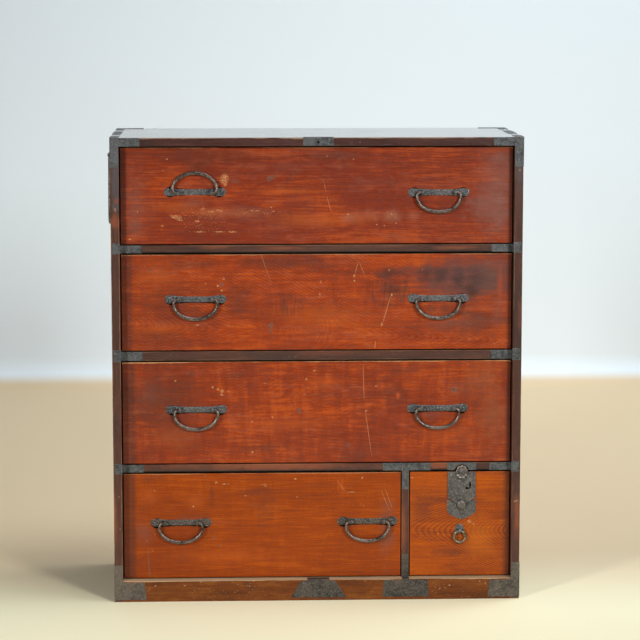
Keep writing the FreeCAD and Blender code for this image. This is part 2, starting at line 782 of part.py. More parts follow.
def foot_lobe_outline(y0, y1):
    """Ogee plate under the lock plate, coming to a blunt point."""
    top = lock_front_top()
    z_top, z_side = top - foot_lobe_top, top - foot_lobe_side
    z_shoulder, z_point = top - foot_lobe_shoulder, top - foot_lobe_point
    corners = [V(lock_x + sign * foot_lobe_half, y0, z_top) for sign in (-1, 1)]
    edges = [Part.LineSegment(*corners).toShape()]
    for sign in (-1, 1):
        outer = lock_x + sign * foot_lobe_half
        inner = lock_x + sign * foot_lobe_shoulder_x
        edges.append(Part.LineSegment(V(outer, y0, z_top), V(outer, y0, z_side)).toShape())
        bulge = V(outer - sign * 3, y0, (z_side + z_shoulder) / 2 - 2)
        edges.append(Part.Arc(V(outer, y0, z_side), bulge, V(inner, y0, z_shoulder)).toShape())
        edges.append(Part.LineSegment(V(inner, y0, z_shoulder), V(lock_x, y0, z_point)).toShape())
    return outline_plate(edges, y0, y1)


def keyhole_tool(y0, y1):
    """A bent slot with a round lower end."""
    x, z = lock_x + keyhole_x, lock_front_top() - keyhole_drop
    half, low = keyhole_width / 2, z - keyhole_height / 2
    upright = box(x - half, x + half, y0, y1, low, low + keyhole_height)
    foot = box(x - keyhole_foot, x + half, y0, y1, low, low + keyhole_width)
    pin_hole = rod_y(keyhole_radius, x - keyhole_foot, low + half, y0, y1)
    return fuse([upright, foot, pin_hole])


def button_slot(y0, y1):
    x, z = lock_x, lock_front_top() - button_drop
    half = shank_radius + shank_gap
    slot = box(x - half, x + half, y0, y1, z, z + bolt_travel)
    return fuse([slot, rod_y(half, x, z, y0, y1), rod_y(half, x, z + bolt_travel, y0, y1)])


def bolt_plane():
    """Front and back faces of the bolt bar, inside the lock case."""
    middle = drawer_front + front_thick - lock_case_thick / 2
    return middle - bolt_thick / 2, middle + bolt_thick / 2


def bolt_channel():
    """Clear way for the bolt through the lock case's head and the drawer front's top edge."""
    y0, y1 = bolt_plane()
    top = lock_front_top()
    half = bolt_width / 2 + bolt_gap
    return box(lock_x - half, lock_x + half, y0 - bolt_gap, y1 + bolt_gap,
               top - lock_case_drop - lock_case_wall - 1, top + 1)


def bolt_mortise():
    """Pocket in the lower rail's underside that the raised bolt enters."""
    y0, y1 = bolt_plane()
    top = lock_front_top() + bolt_rest_rise + bolt_travel + bolt_gap
    half = bolt_width / 2 + bolt_gap
    return box(lock_x - half, lock_x + half, y0 - bolt_gap, y1 + bolt_gap, row_low_top - 1, top)


def lock_case_box(grow=0.0):
    top = lock_front_top() - lock_case_drop
    half = lock_case_width / 2 + grow
    y1 = drawer_front + front_thick
    return box(lock_x - half, lock_x + half, y1 - lock_case_thick - grow, y1,
               top - lock_case_height - grow, top + grow)


def lock_case():
    """Sheet-iron box let into the back of the drawer front, with a leaf spring beside the bolt."""
    shell = lock_case_box().cut(lock_case_box(-lock_case_wall).cut(
        box(lock_x - case_width, lock_x + case_width, drawer_front + front_thick - lock_case_wall,
            case_back, 0, case_height)))
    leaf_x = lock_x - bolt_width / 2 - 3 * bolt_gap - iron_thick
    top = lock_front_top() - lock_case_drop
    y1 = drawer_front + front_thick
    leaf = box(leaf_x, leaf_x + iron_thick, y1 - lock_case_thick + lock_case_wall, y1 - lock_case_wall,
               top - lock_case_height + lock_case_wall, top - lock_case_height / 2)
    slot = button_slot(drawer_front - lock_thick, drawer_front + front_thick - lock_case_thick / 2)
    key = keyhole_tool(drawer_front - lock_thick, drawer_front + front_thick - lock_case_thick / 2)
    return cut(fuse([shell, leaf]), [bolt_channel(), slot, key])


def lock_bolt():
    y0, y1 = bolt_plane()
    top = lock_front_top()
    return box(lock_x - bolt_width / 2, lock_x + bolt_width / 2, y0, y1,
               top - button_drop - bolt_foot, top + bolt_rest_rise)


def lock_button():
    """Round button with a shank that reaches the bolt."""
    x, z = lock_x, lock_front_top() - button_drop
    face = drawer_front - lock_thick - button_gap
    disc = rod_y(button_radius, x, z, face - button_thick, face)
    rim = [e for e in disc.Edges if e.BoundBox.YMax < face - button_thick + 0.01]
    dome = disc.makeFillet(button_thick * 0.6, rim)
    return fuse([dome, rod_y(shank_radius, x, z, face, bolt_plane()[0])])


def lock_rosette():
    """Flower-shaped rivet head on the lock plate's ear."""
    x, z = lock_x, lock_front_top()
    face = drawer_front - lock_thick
    reach_x = rosette_half_width - rosette_petal_radius
    reach_z = rosette_half_height - rosette_petal_radius
    petals = []
    for i in range(rosette_petals):
        a = math.pi / 2 + 2 * math.pi * i / rosette_petals
        petals.append(rod_y(rosette_petal_radius, x + reach_x * math.cos(a), z + reach_z * math.sin(a),
                            face - rosette_thick, face))
    boss = rod_y(rosette_boss_radius, x, z, face - rosette_thick - rosette_boss_rise, face)
    return fuse([rod_y(reach_x, x, z, face - rosette_thick, face)] + petals + [boss])


def ring_pivot():
    return V(ring_x, drawer_front - ring_stand_off, lock_front_top() - ring_centre_drop + ring_radius)


def ring_eye():
    pivot = ring_pivot()
    pin = eye_pin(ring_stand_off, ring_eye_radius, ring_wire + ring_eye_gap, ring_eye_width,
                  front_thick, pin_clench)
    pin.translate(pivot)
    low = pivot.z - bell_drop
    y0, y1 = drawer_front - iron_proud, drawer_front + iron_inlay
    top = low + bell_height - bell_half_top
    skirt = prism([(ring_x - bell_half_low, low), (ring_x + bell_half_low, low),
                   (ring_x + bell_half_top, top), (ring_x - bell_half_top, top)], y0, y1)
    bell = fuse([skirt, rod_y(bell_half_top, ring_x, top, y0, y1)])
    return [pin, bell.cut(pin)]


def ring_pull():
    pivot = ring_pivot()
    return Part.makeTorus(ring_radius, ring_wire, pivot - V(0, 0, ring_radius), Y_AXIS)


def make_lock():
    """Returns what is let into or passes through the small drawer's front."""
    plate = lock_plate_outline(drawer_front - lock_thick, drawer_front)
    lobe = foot_lobe_outline(drawer_front - iron_thick, drawer_front)
    slot = button_slot(drawer_front - lock_thick - 1, drawer_front + front_thick - lock_case_thick / 2)
    key = keyhole_tool(drawer_front - lock_thick - 1, drawer_front + front_thick - lock_case_thick / 2)
    nodes["lock_plate"] = [cut(plate, [lobe, slot, key])]
    nodes["lock_foot_plate"] = [cut(lobe, [slot])]
    nodes["lock_case"] = [lock_case()]
    nodes["lock_bolt"] = [lock_bolt()]
    nodes["lock_button"] = [lock_button()]
    nodes["lock_rosette"] = [lock_rosette()]
    eye = ring_eye()
    nodes["ring_eye"] = eye
    nodes["ring_pull"] = [ring_pull()]
    return eye + [lock_case_box(), slot, key, bolt_channel()]


# Drawer boxes

def make_drawer(name, through):
    left, right, low, high, pulls = drawer_openings[name]
    x0, x1 = left + drawer_side_gap, right - drawer_side_gap
    y0, y1 = drawer_front, back_inner - drawer_back_gap
    face_low, face_top = low + drawer_floor_gap, high - drawer_head_gap
    wall_low, wall_top = low + drawer_slide_gap, face_top - wall_drop
    y_joint = y0 + front_thick
    floor_low = low + floor_lift
    board = box(x0, x1, y0, y_joint, face_low, face_top)
    rim = [e for e in board.Edges if e.BoundBox.YMax < y0 + 0.01]
    board = board.makeFillet(front_round, rim)
    floor = box(x0 + wall_thick - floor_groove, x1 - wall_thick + floor_groove, y_joint - floor_groove, y1,
                floor_low, floor_low + floor_thick)
    walls = []
    for outer, inner in ((x0, x0 + wall_thick), (x1 - wall_thick, x1)):
        plank = box(outer, inner, y_joint, y1, wall_low, wall_top)
        fingers = [box(outer, inner, y0 + front_lip, y_joint, a, b)
                   for a, b in finger_spans(face_low, wall_top, wall_finger_count)]
        walls.append(fuse([plank] + fingers))
    rear = box(x0, x1, y1 - wall_thick, y1, floor_low + floor_thick, wall_top)
    rear_tongues = finger_spans(floor_low + floor_thick, wall_top, wall_finger_count)
    rear_slots = [box(outer, inner, y1 - wall_thick, y1, a, b) for a, b in rear_tongues
                  for outer, inner in ((x0, x0 + wall_thick), (x1 - wall_thick, x1))]
    rear = cut(rear, rear_slots)
    walls = [cut(w, [floor, rear]) for w in walls]
    nodes[f"{name}_front"] = [cut(board, walls + [floor] + through)]
    nodes[f"{name}_walls"] = walls + [rear]
    nodes[f"{name}_bottom"] = [floor]


def main():
    os.makedirs("parts", exist_ok=True)
    make_case(case_nails())
    make_side_handles()
    lock_through = make_lock()
    for name in drawer_openings:
        through = make_pulls(name) if drawer_openings[name][4] else lock_through
        make_drawer(name, through)
    for name, solids in nodes.items():
        pieces = [s for shape in solids for s in shape.Solids]
        if len(pieces) != len(solids):
            print(f"{name}: {len(solids)} pieces became {len(pieces)} solids")
        bad = [i for i, s in enumerate(pieces) if not s.isValid() or s.Volume <= 0]
        if bad:
            print(f"{name}: bad solids {bad}")
        whole = pieces[0] if len(pieces) == 1 else Part.makeCompound(pieces)
        whole.exportStep(f"parts/{name}.step")
    print(f"{len(nodes)} nodes, bails lean in {bail_lean():.2f} degrees")


main()
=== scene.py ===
import bmesh
import bpy
import math
import random
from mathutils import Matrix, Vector
from types import SimpleNamespace


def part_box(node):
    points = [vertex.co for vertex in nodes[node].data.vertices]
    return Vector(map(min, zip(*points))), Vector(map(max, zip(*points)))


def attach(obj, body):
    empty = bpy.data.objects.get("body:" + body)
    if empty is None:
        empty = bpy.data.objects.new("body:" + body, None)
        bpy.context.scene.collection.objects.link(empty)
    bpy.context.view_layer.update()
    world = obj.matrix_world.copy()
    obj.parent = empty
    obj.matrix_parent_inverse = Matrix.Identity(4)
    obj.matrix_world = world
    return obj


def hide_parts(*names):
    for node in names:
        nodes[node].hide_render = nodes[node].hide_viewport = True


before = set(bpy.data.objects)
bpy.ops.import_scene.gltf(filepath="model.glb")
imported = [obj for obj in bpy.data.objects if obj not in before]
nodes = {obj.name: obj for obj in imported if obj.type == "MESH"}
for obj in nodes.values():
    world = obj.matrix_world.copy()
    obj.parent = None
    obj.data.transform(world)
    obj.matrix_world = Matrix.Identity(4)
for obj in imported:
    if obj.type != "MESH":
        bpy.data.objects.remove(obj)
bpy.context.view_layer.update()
print("loaded", len(nodes), "nodes")


# a socket that can be added, multiplied and so on; each sum adds a Math node
class Value:
    def __init__(self, finish, socket):
        self.finish = finish
        self.socket = socket

    def calc(self, operation, first, second):
        return self.finish.add("ShaderNodeMath", {"operation": operation}, {0: first, 1: second})

    def __add__(self, other):
        return self.calc("ADD", self, other)

    def __sub__(self, other):
        return self.calc("SUBTRACT", self, other)

    def __rsub__(self, other):
        return self.calc("SUBTRACT", other, self)

    def __mul__(self, other):
        return self.calc("MULTIPLY", self, other)

    def __truediv__(self, other):
        return self.calc("DIVIDE", self, other)

    def __pow__(self, other):
        return self.calc("POWER", self, other)

    __radd__ = __add__
    __rmul__ = __mul__


# a tree of nodes, and short calls that add to it
class Tree:
    def __init__(self, tree):
        self.tree = tree

    # any node: its settings first, then values or links on its sockets
    def add(self, kind, settings=None, inputs=None, out=0):
        node = self.tree.nodes.new(kind)
        for key, value in (settings or {}).items():
            setattr(node, key, value)
        for key, value in (inputs or {}).items():
            self.feed(node.inputs[key], value)
        if out is None:
            return node
        return Value(self, node.outputs[out])

    def feed(self, socket, value):
        if isinstance(value, Value):
            self.tree.links.new(value.socket, socket)
        elif socket.type == "RGBA" and len(value) == 3:
            socket.default_value = (*value, 1.0)
        else:
            socket.default_value = value

    def split(self, vector):
        node = self.add("ShaderNodeSeparateXYZ", inputs={0: vector}, out=None)
        return [Value(self, output) for output in node.outputs]

    def vector(self, x, y, z):
        return self.add("ShaderNodeCombineXYZ", inputs={0: x, 1: y, 2: z})

    # another part of a pattern for each seed
    def moved(self, vector, seed):
        if not seed:
            return vector
        return self.add("ShaderNodeVectorMath", {"operation": "ADD"}, {0: vector, 1: (seed, seed * 0.7, -seed)})

    def noise(self, vector, scale=1.0, detail=2.0, rough=0.5, twist=0.0, seed=0.0):
        return self.add("ShaderNodeTexNoise", None, {
            "Vector": self.moved(vector, seed), "Scale": scale, "Detail": detail, "Roughness": rough,
            "Distortion": twist})

    def cells(self, vector, scale, seed=0.0):
        place = self.moved(vector, seed)
        return self.add("ShaderNodeTexVoronoi", None, {"Vector": place, "Scale": scale}, out="Distance")

    # 0 below low, 1 above high, smooth between; low may be above high
    def step(self, value, low, high):
        return self.add("ShaderNodeMapRange", {"interpolation_type": "SMOOTHSTEP"}, {
            "Value": value, "From Min": low, "From Max": high, "To Min": 0.0, "To Max": 1.0})

    def least(self, first, second):
        return first.calc("MINIMUM", first, second)

    def most(self, first, second):
        return first.calc("MAXIMUM", first, second)

    def size(self, value):
        return value.calc("ABSOLUTE", value, 0.0)

    def mix(self, factor, first, second):
        return self.add("ShaderNodeMix", {"data_type": "RGBA"}, {0: factor, 6: first, 7: second}, out=2)

    def bump(self, height, strength, distance, normal=None):
        inputs = {"Height": height, "Strength": strength, "Distance": distance}
        if normal is not None:
            inputs["Normal"] = normal
        return self.add("ShaderNodeBump", None, inputs)


ovalInputs = ("x", "z", "middleX", "middleZ", "wide", "high", "cos", "sin", "nearest")


# one oval of a front, as a group. It gives the square of how far a point is from the middle,
# 1 on the rim, or what came in as nearest where that is less
def makeOvalGroup():
    group = bpy.data.node_groups.new("ovalOnFront", "ShaderNodeTree")
    for name in ovalInputs:
        group.interface.new_socket(name=name, in_out="INPUT", socket_type="NodeSocketFloat")
    group.interface.new_socket(name="distance", in_out="OUTPUT", socket_type="NodeSocketFloat")
    tree = Tree(group)
    entry = tree.add("NodeGroupInput", out=None)
    sockets = [Value(tree, entry.outputs[name]) for name in ovalInputs]
    x, z, middleX, middleZ, wide, high, cos, sin, nearest = sockets
    dx, dz = x * 1000 - middleX, z * 1000 - middleZ
    a = (dx * cos + dz * sin) / wide
    b = (dz * cos - dx * sin) / high
    tree.add("NodeGroupOutput", inputs={0: tree.least(a * a + b * b, nearest)}, out=None)
    return group


# one material: a Principled shader and the nodes that feed it
class Finish(Tree):
    def __init__(self, name):
        self.material = bpy.data.materials.new(name)
        self.material.use_nodes = True
        super().__init__(self.material.node_tree)
        self.tree.nodes.clear()
        self.shader = self.tree.nodes.new("ShaderNodeBsdfPrincipled")
        self.output = self.tree.nodes.new("ShaderNodeOutputMaterial")
        self.tree.links.new(self.shader.outputs[0], self.output.inputs[0])
        place = self.add("ShaderNodeTexCoord", out="Object")
        self.place = place
        self.x, self.y, self.z = self.split(place)

    # another colour over the ones before, as thick as the mask says
    def lay(self, mask, tint):
        self.colour = self.mix(mask, self.colour, tint)

    def put(self, **sockets):
        for key, value in sockets.items():
            self.feed(self.shader.inputs[key.replace("_", " ")], value)

    # distance from the nearest of some ovals on a front, 1 on a rim; each is x, z, half width,
    # half height in millimetres and, where it is turned, the turn in degrees
    def ovals(self, items):
        nearest = 1e6
        for x, z, wide, high, *turned in items:
            turn = math.radians(sum(turned))
            nearest = self.add("ShaderNodeGroup", {"node_tree": ovalGroup}, {
                "x": self.x, "z": self.z, "middleX": x, "middleZ": z, "wide": wide, "high": high,
                "cos": math.cos(turn), "sin": math.sin(turn), "nearest": nearest})
        return nearest ** 0.5

    # a noise of the whole piece: how fine, detail, roughness and what is added to its seed
    def plainNoise(self, row, seed):
        fine, detail, rough, more = row
        return self.noise(self.place, fine, detail, rough, seed=seed + more)


ovalGroup = makeOvalGroup()

view = {
    "place": (-0.19175, -5.2808, 1.293),
    "yaw": 2.216,
    "pitch": 7.637,
    "roll": 0.011,
    "lens": 136.68,
    "sensor": 36.0,
    "clip": (0.05, 60.0),
}
stageLook = {
    "wallAt": 2.73,
    "coveRadius": 0.10,
    "coveSteps": 8,
    "wallFrom": (0.01, 0.05),
    "litFloorFrom": (0.3, -0.35),
    "rough": 0.75,
    "width": 14.0,
    "front": -7.5,
    "height": 4.6,
    "floorColour": (0.70, 0.54, 0.345),
    "wallColour": (0.83, 0.915, 0.99),
    "litFloorColour": (0.98, 0.91, 0.63),
}
warmWhite = (1.0, 0.98, 0.95)
coolWhite = (0.89, 0.96, 1.0)
lamps = {
    "left": {"at": (-3.1, -4.1, 1.9), "aim": (0, 0, 0.5), "size": (0.6, 0.9), "power": 15, "spread": 60,
             "colour": warmWhite},
    "right": {"at": (2.3, -4.4, 2.0), "aim": (0, 0, 0.5), "size": (0.7, 0.9), "power": 15, "spread": 60,
              "colour": warmWhite},
    "above": {"at": (1.9, 0.5, 4.2), "aim": (0.3, 2.0, 0.3), "size": (5.0, 1.6), "power": 88, "spread": 110,
              "colour": coolWhite},
}
skyLight = {"colour": (0.80, 0.90, 1.0), "strength": 0.06}

near = 1e-5     # closer than this is the same place


def setMode(name):
    bpy.ops.object.mode_set(mode=name)


# nothing selected, object mode
def letGo():
    if bpy.context.mode != "OBJECT":
        setMode("OBJECT")
    bpy.ops.object.select_all(action="DESELECT")


# only these pieces selected, the last one active
def hold(*pieces):
    letGo()
    for piece in pieces:
        piece.select_set(True)
    bpy.context.view_layer.objects.active = pieces[-1]


def setPlace():
    bpy.ops.object.transform_apply(location=True, rotation=True, scale=True)


# selects the faces, edges or vertices in edit mode for which test is true
def pick(kind, test):
    piece = bpy.context.object
    bpy.ops.mesh.select_mode(type=kind)
    bpy.ops.mesh.select_all(action="DESELECT")
    mesh = bmesh.from_edit_mesh(piece.data)
    for item in {"VERT": mesh.verts, "EDGE": mesh.edges, "FACE": mesh.faces}[kind]:
        if test(item):
            item.select_set(True)
    mesh.select_flush_mode()
    bmesh.update_edit_mesh(piece.data)


def extrude(x, y, z):
    bpy.ops.mesh.extrude_region_move(TRANSFORM_OT_translate={"value": (x, y, z)})


def resize(x, y, z, middle):
    bpy.ops.transform.resize(value=(x, y, z), center_override=middle)


def makeCamera():
    data = bpy.data.cameras.new("camera")
    data.lens = view["lens"]
    data.sensor_width = view["sensor"]
    data.clip_start, data.clip_end = view["clip"]
    camera = bpy.data.objects.new("camera", data)
    camera.location = view["place"]
    turns = (90 - view["pitch"], view["roll"], -view["yaw"])
    camera.rotation_euler = [math.radians(turn) for turn in turns]
    bpy.context.scene.collection.objects.link(camera)
    bpy.context.scene.camera = camera


def makeStage():
    s = stageLook
    letGo()
    depth = s["wallAt"] - s["front"]
    bpy.ops.mesh.primitive_plane_add(size=1.0, location=(0, s["front"] + depth / 2, 0))
    backdrop = bpy.context.object
    backdrop.name = "backdrop"
    backdrop.dimensions = (s["width"], depth, 0)
    setPlace()
    setMode("EDIT")
    pick("EDGE", lambda e: all(abs(v.co.y - s["wallAt"]) < near for v in e.verts))
    extrude(0, 0, s["height"])
    pick("EDGE", lambda e: all(abs(v.co.y - s["wallAt"]) < near and v.co.z < near for v in e.verts))
    bpy.ops.mesh.bevel(offset=s["coveRadius"], segments=s["coveSteps"])
    setMode("OBJECT")
    bpy.ops.object.shade_smooth()
    finish = Finish("paleStudioPaint")
    grain = finish.noise(finish.place, 5.0, 3.0)
    # painted light: the floor in front of the chest is a paler, brighter colour than the floor further back
    ground = finish.mix(finish.step(finish.y, *s["litFloorFrom"]), s["floorColour"], s["litFloorColour"])
    colour = finish.mix(finish.step(finish.z, *s["wallFrom"]), ground, s["wallColour"])
    finish.put(Base_Color=colour, Roughness=s["rough"] + grain * 0.1)
    # seen from behind, the wall is clear
    behind = finish.add("ShaderNodeNewGeometry", out="Backfacing")
    clear = finish.add("ShaderNodeBsdfTransparent")
    paint = Value(finish, finish.shader.outputs[0])
    finish.feed(finish.output.inputs[0], finish.add("ShaderNodeMixShader", None, {0: behind, 1: paint, 2: clear}))
    backdrop.data.materials.append(finish.material)


def makeLamps():
    for name, look in lamps.items():
        data = bpy.data.lights.new(name, "AREA")
        data.shape = "RECTANGLE"
        data.size, data.size_y = look["size"]
        data.energy = look["power"]
        data.spread = math.radians(look["spread"])
        data.color = look["colour"]
        lamp = bpy.data.objects.new(name, data)
        lamp.location = look["at"]
        aim = Vector(look["aim"]) - Vector(look["at"])
        lamp.rotation_euler = aim.to_track_quat("-Z", "Y").to_euler()
        bpy.context.scene.collection.objects.link(lamp)
    world = bpy.data.worlds.new("paleRoom")
    world.use_nodes = True
    background = world.node_tree.nodes["Background"]
    background.inputs["Color"].default_value = (*skyLight["colour"], 1.0)
    background.inputs["Strength"].default_value = skyLight["strength"]
    bpy.context.scene.world = world
    bpy.context.scene.view_settings.view_transform = "Standard"


makeCamera()
makeStage()
makeLamps()
print("camera, floor and light are set")

axisNames = "xyz"


# distance from the nearest long edge of a board, 0 on an edge; low and high are the board's corners
def edgeDistance(finish, low, high):
    inside = []
    for value, start, end in zip((finish.x, finish.y, finish.z), low, high):
        middle, half = (start + end) / 2, (end - start) / 2
        inside.append(half - finish.size(value - middle))
    a, b, c = inside
    # the second smallest of the three is small only by an edge
    return finish.least(finish.least(finish.most(a, b), finish.most(b, c)), finish.most(a, c))


# growth rings of a board: axis is where the tree's heart lies across and behind the face,
# taper makes the pointed arches, wander bends the lines
def growthRings(finish, look, along, across, through):
    seed = look.seed
    slow = finish.vector(along * look.slowAlong, across * look.slowAcross, through * 4.0)
    wander = (finish.noise(slow, 1.0, 2.0, 0.45, seed=seed) - 0.5) * look.wander
    fine = finish.vector(along * 14.0, across * 70.0, through * 70.0)
    tremble = finish.noise(fine, 1.0, 2.0, 0.5, seed=seed + 3.0) - 0.5
    sideways = across - look.axis + along * look.tilt + wander
    inwards = through * 0.8 + look.heart + wander * 0.4
    radius = (sideways * sideways + inwards * inwards) ** 0.5 + along * look.taper + wander * 0.5
    for height, spot in look.swells:
        away = finish.ovals((spot,))
        radius = radius + (away * away + 1) ** -1.0 * height
    return radius / look.ring + tremble * look.tremble


# noises drawn out along the grain: how fine along it and across it, detail, roughness, twist
# and what is added to the seed
grainNoises = {
    "patch": (4.0, 9.0, 2.0, 0.5, 0.0, 41.0),
    "fibre": (16.0, 620.0, 2.0, 0.6, 0.0, 0.0),
    "line": (9.0, 190.0, 2.0, 0.6, 0.0, 17.0),
    "band": (3.2, 42.0, 3.0, 0.6, 0.3, 19.0),
    "cloud": (5.0, 11.0, 3.0, 0.6, 0.4, 11.0),
    "pore": (70.0, 1300.0, 1.0, 0.5, 0.0, 7.0),
    "mottle": (24.0, 55.0, 4.0, 0.68, 0.9, 37.0),
    "smudge": (7.0, 13.0, 4.0, 0.65, 0.6, 23.0),
}
# noises that are the same every way: how fine, detail, roughness, and what is added to the seed
wearNoises = {
    "speck": (330.0, 2.0, 0.6, 5.0),
    "torn": (42.0, 4.0, 0.65, 31.0),
    "fleckPatch": (13.0, 3.0, 0.65, 6.0),
    "broken": (90.0, 2.0, 0.6, 8.0),
    "chew": (60.0, 4.0, 0.7, 9.0),
    "here": (9.0, 2.0, 0.6, 10.0),
    "uneven": (14.0, 2.0, 0.5, 2.0),
}
woodTints = {
    "redder": (0.165, 0.022, 0.010),
    "flame": (0.070, 0.026, 0.018),
    "haze": (0.155, 0.072, 0.058),
    "knot": (0.185, 0.110, 0.085),
    "knotHeart": (0.045, 0.025, 0.020),
    # painted shade and patina on the drawers' ends
    "patinaAndShade": (0.030, 0.020, 0.018),
    "bruise": (0.42, 0.17, 0.06),
    "gap": (0.010, 0.006, 0.005),
    # painted shade and dirt just inside the drawers' gaps
    "shadeAndDirt": (0.012, 0.007, 0.006),
}
# what woods share: lengths in metres, but chips, scratches, knots and tints in millimetres on the front
woodBase = dict(
    grain="x", face="y", ring=0.0060, axis=0.0, heart=0.05, tilt=0.0, taper=0.1, slowAlong=1.6, slowAcross=4.0,
    wander=0.05, tremble=0.35, seed=1.0, light=(0.46, 0.088, 0.016), middle=(0.30, 0.046, 0.010),
    dark=(0.095, 0.020, 0.010), stain=(0.070, 0.030, 0.022), worn=(0.56, 0.30, 0.13), ringShow=0.75,
    bandShow=0.5, stainShow=0.6, stainFrom=0.56, edgeWear=0.0012, fleckCount=0.5, gloss=0.34, sheen=0.18,
    coat=0.08, bareTop=0.0, wornAbove=None, board=None, glossyTop=False, scuffs=(), rubShow=0.85, darkShow=0.6,
    redder=0.0, mottleShow=0.9, cloudShow=1.4, smoky=None, swells=(), flames=(), haze=0.0, chips=(),
    scratches=(), knots=(), planks=0, gapShade=0.0, curlShow=0.0, lineShow=1.0, fleckShow=0.85, tints=(),
    tintDeep=None, grimeDepth=(0.0014, 0.0030), bareDepth=(0.010, 0.011), glossDepth=(0.0006, 0.0002),
    wornFade=0.002, rounding=0.0012, plankShift=1.37, coatRough=0.16)


# scratches as long thin ovals
def scratchOvals(scratches):
    for x1, z1, x2, z2, wide in scratches:
        turn = math.degrees(math.atan2(z2 - z1, x2 - x1))
        yield (x1 + x2) / 2, (z1 + z2) / 2, math.hypot(x2 - x1, z2 - z1) / 2, wide / 2, turn


def makeWood(name, box, **changes):
    look = SimpleNamespace(**(woodBase | changes))
    finish = Finish(name)
    mix, step, noise, vector, lay = finish.mix, finish.step, finish.noise, finish.vector, finish.lay
    low, high = box
    seed = look.seed
    alongAxis, throughAxis = axisNames.index(look.grain), axisNames.index(look.face)
    acrossAxis = 3 - alongAxis - throughAxis
    spots = (finish.x, finish.y, finish.z)
    along, across = spots[alongAxis], spots[acrossAxis]
    through = spots[throughAxis] - (low[throughAxis] + high[throughAxis]) / 2
    if look.planks:
        # each board of a row is cut from another place
        plankWide = (high[acrossAxis] - low[acrossAxis]) / look.planks
        plank = (across - low[acrossAxis]) / plankWide
        along = along + plank.calc("FLOOR", plank, 0.0) * look.plankShift

    def grainNoise(which):
        fineAlong, fineAcross, detail, rough, twist, more = grainNoises[which]
        place = vector(along * fineAlong, across * fineAcross, through * fineAcross)
        return noise(place, 1.0, detail, rough, twist, seed + more)

    def wearNoise(which):
        return finish.plainNoise(wearNoises[which], seed)

    rings = growthRings(finish, look, along, across, through)
    phase = rings.calc("FRACT", rings, 0.0)
    ringNumber = rings.calc("FLOOR", rings, 0.0)
    late = phase * phase * 0.8 + (1 - step(phase, 0.0, 0.16)) * 0.55
    each = noise(vector(ringNumber * 0.37, seed, 0.0), 1.0, 1.0)
    late = late * (0.35 + each * 1.2) * (step(grainNoise("patch"), 0.30, 0.62) * 0.75 + 0.25)

    fibre, line, band, cloud, mottle = map(grainNoise, ("fibre", "line", "band", "cloud", "mottle"))
    pore = step(grainNoise("pore"), 0.60, 0.72) * (0.35 + 0.65 * (1 - phase))
    speck, torn = wearNoise("speck"), wearNoise("torn")
    tone = 0.5 + (cloud - 0.5) * look.cloudShow + (band - 0.5) * look.bandShow * 2.0
    tone = tone + (line + fibre - 1.0) * look.lineShow + (speck - 0.5) * 0.6
    tone = tone + (mottle - 0.5) * look.mottleShow - late * look.ringShow
    if look.curlShow:
        curl = noise(vector(along * 62.0, across * 11.0, 0.0), 1.0, 2.0, 0.55, 0.5, seed + 47.0)
        tone = tone + (curl - 0.5) * look.curlShow
    finish.colour = mix(step(tone, 0.35, 1.0), look.middle, look.light)
    lay(step(tone, 0.45, -0.25) * look.darkShow, look.dark)
    lay(pore * 0.5, look.dark)
    # the lacquer is redder in some places and more amber in others
    if look.redder:
        hue = step(cloud * 0.5 + mottle * 0.5, 0.62, 0.36)
        lay(hue * look.redder, woodTints["redder"])

    ragged = (band - 0.5) * 1.3 + (cloud - 0.5) * 1.2 + (line - 0.5) * 0.7 + (torn - 0.5) * 1.3
    for tint, amount, soft, places in look.tints:
        mask = step(finish.ovals(places) + ragged, 1.25, 1.15 - soft * 1.3)
        if look.tintDeep:
            mask = mask * step(finish.y, low[1] + look.tintDeep, low[1] + look.tintDeep * 0.4)
        lay(mask * amount * (0.55 + line * 0.9), tint)

    if look.flames:
        flame = noise(vector(finish.x * 170.0, finish.z * 16.0, 0.0), 1.0, 2.0, 0.5, 0.3, seed + 27.0)
        flame = step(flame, 0.46, 0.60) * step(finish.ovals(look.flames) + (torn - 0.5) * 1.2, 1.25, 0.4)
        lay(flame * 0.5, woodTints["flame"])
    if look.haze:
        dull = step(band * 0.5 + mottle * 0.5, 0.50, 0.64)
        lay(dull * look.haze, woodTints["haze"])

    smudge = step(grainNoise("smudge"), look.stainFrom, look.stainFrom + 0.16) * look.stainShow
    lay(smudge, look.stain)
    if look.knots:
        knot = step(finish.ovals(look.knots) + (speck - 0.5) * 1.4, 1.25, 0.45)
        lay(knot * 0.7, woodTints["knot"])
        lay(step(knot + (line - 0.5), 0.75, 1.1) * 0.6, woodTints["knotHeart"])

    if look.smoky:
        # painted shade at the ends beside the case, where the stiles standing proud of the fronts shade them, laid on
        # a darker patina there
        start, end = look.smoky
        at = finish.x * 1000 + (mottle - 0.5) * 8
        side = finish.most(step(at, start + 6, start - 5), step(at, end - 6, end + 5))
        lay(side * 0.5, woodTints["patinaAndShade"])

    pit = noise(vector(finish.x * 330.0, finish.y * 330.0, finish.z * 520.0), 1.0, 2.0, 0.6, seed=seed + 33.0)
    fleck = finish.cells(vector(finish.x * 110.0, finish.y * 110.0, finish.z * 170.0), 1.0, seed)
    fleck = step(fleck, 0.20, 0.09) * step(wearNoise("fleckPatch"), 0.70 - 0.14 * look.fleckCount, 0.80)
    if look.chips:
        bruise = step(finish.ovals(look.chips) + (torn - 0.5) * 1.6, 1.35, 0.55)
        lay(bruise * 0.30, woodTints["bruise"])
        fleck = finish.most(fleck, bruise * step(pit, 0.46, 0.57))
    if look.scuffs:
        scuff = step(finish.ovals(look.scuffs) + (torn - 0.5) * 1.4, 1.25, 0.35)
        fleck = finish.most(fleck, scuff * step(pit, 0.60, 0.69) * 0.8)
    if look.scratches:
        scratch = step(finish.ovals(scratchOvals(look.scratches)), 1.0, 0.7)
        fleck = finish.most(fleck, scratch * step(wearNoise("broken"), 0.22, 0.50) * 0.5)
    lay(fleck * look.fleckShow, look.worn)

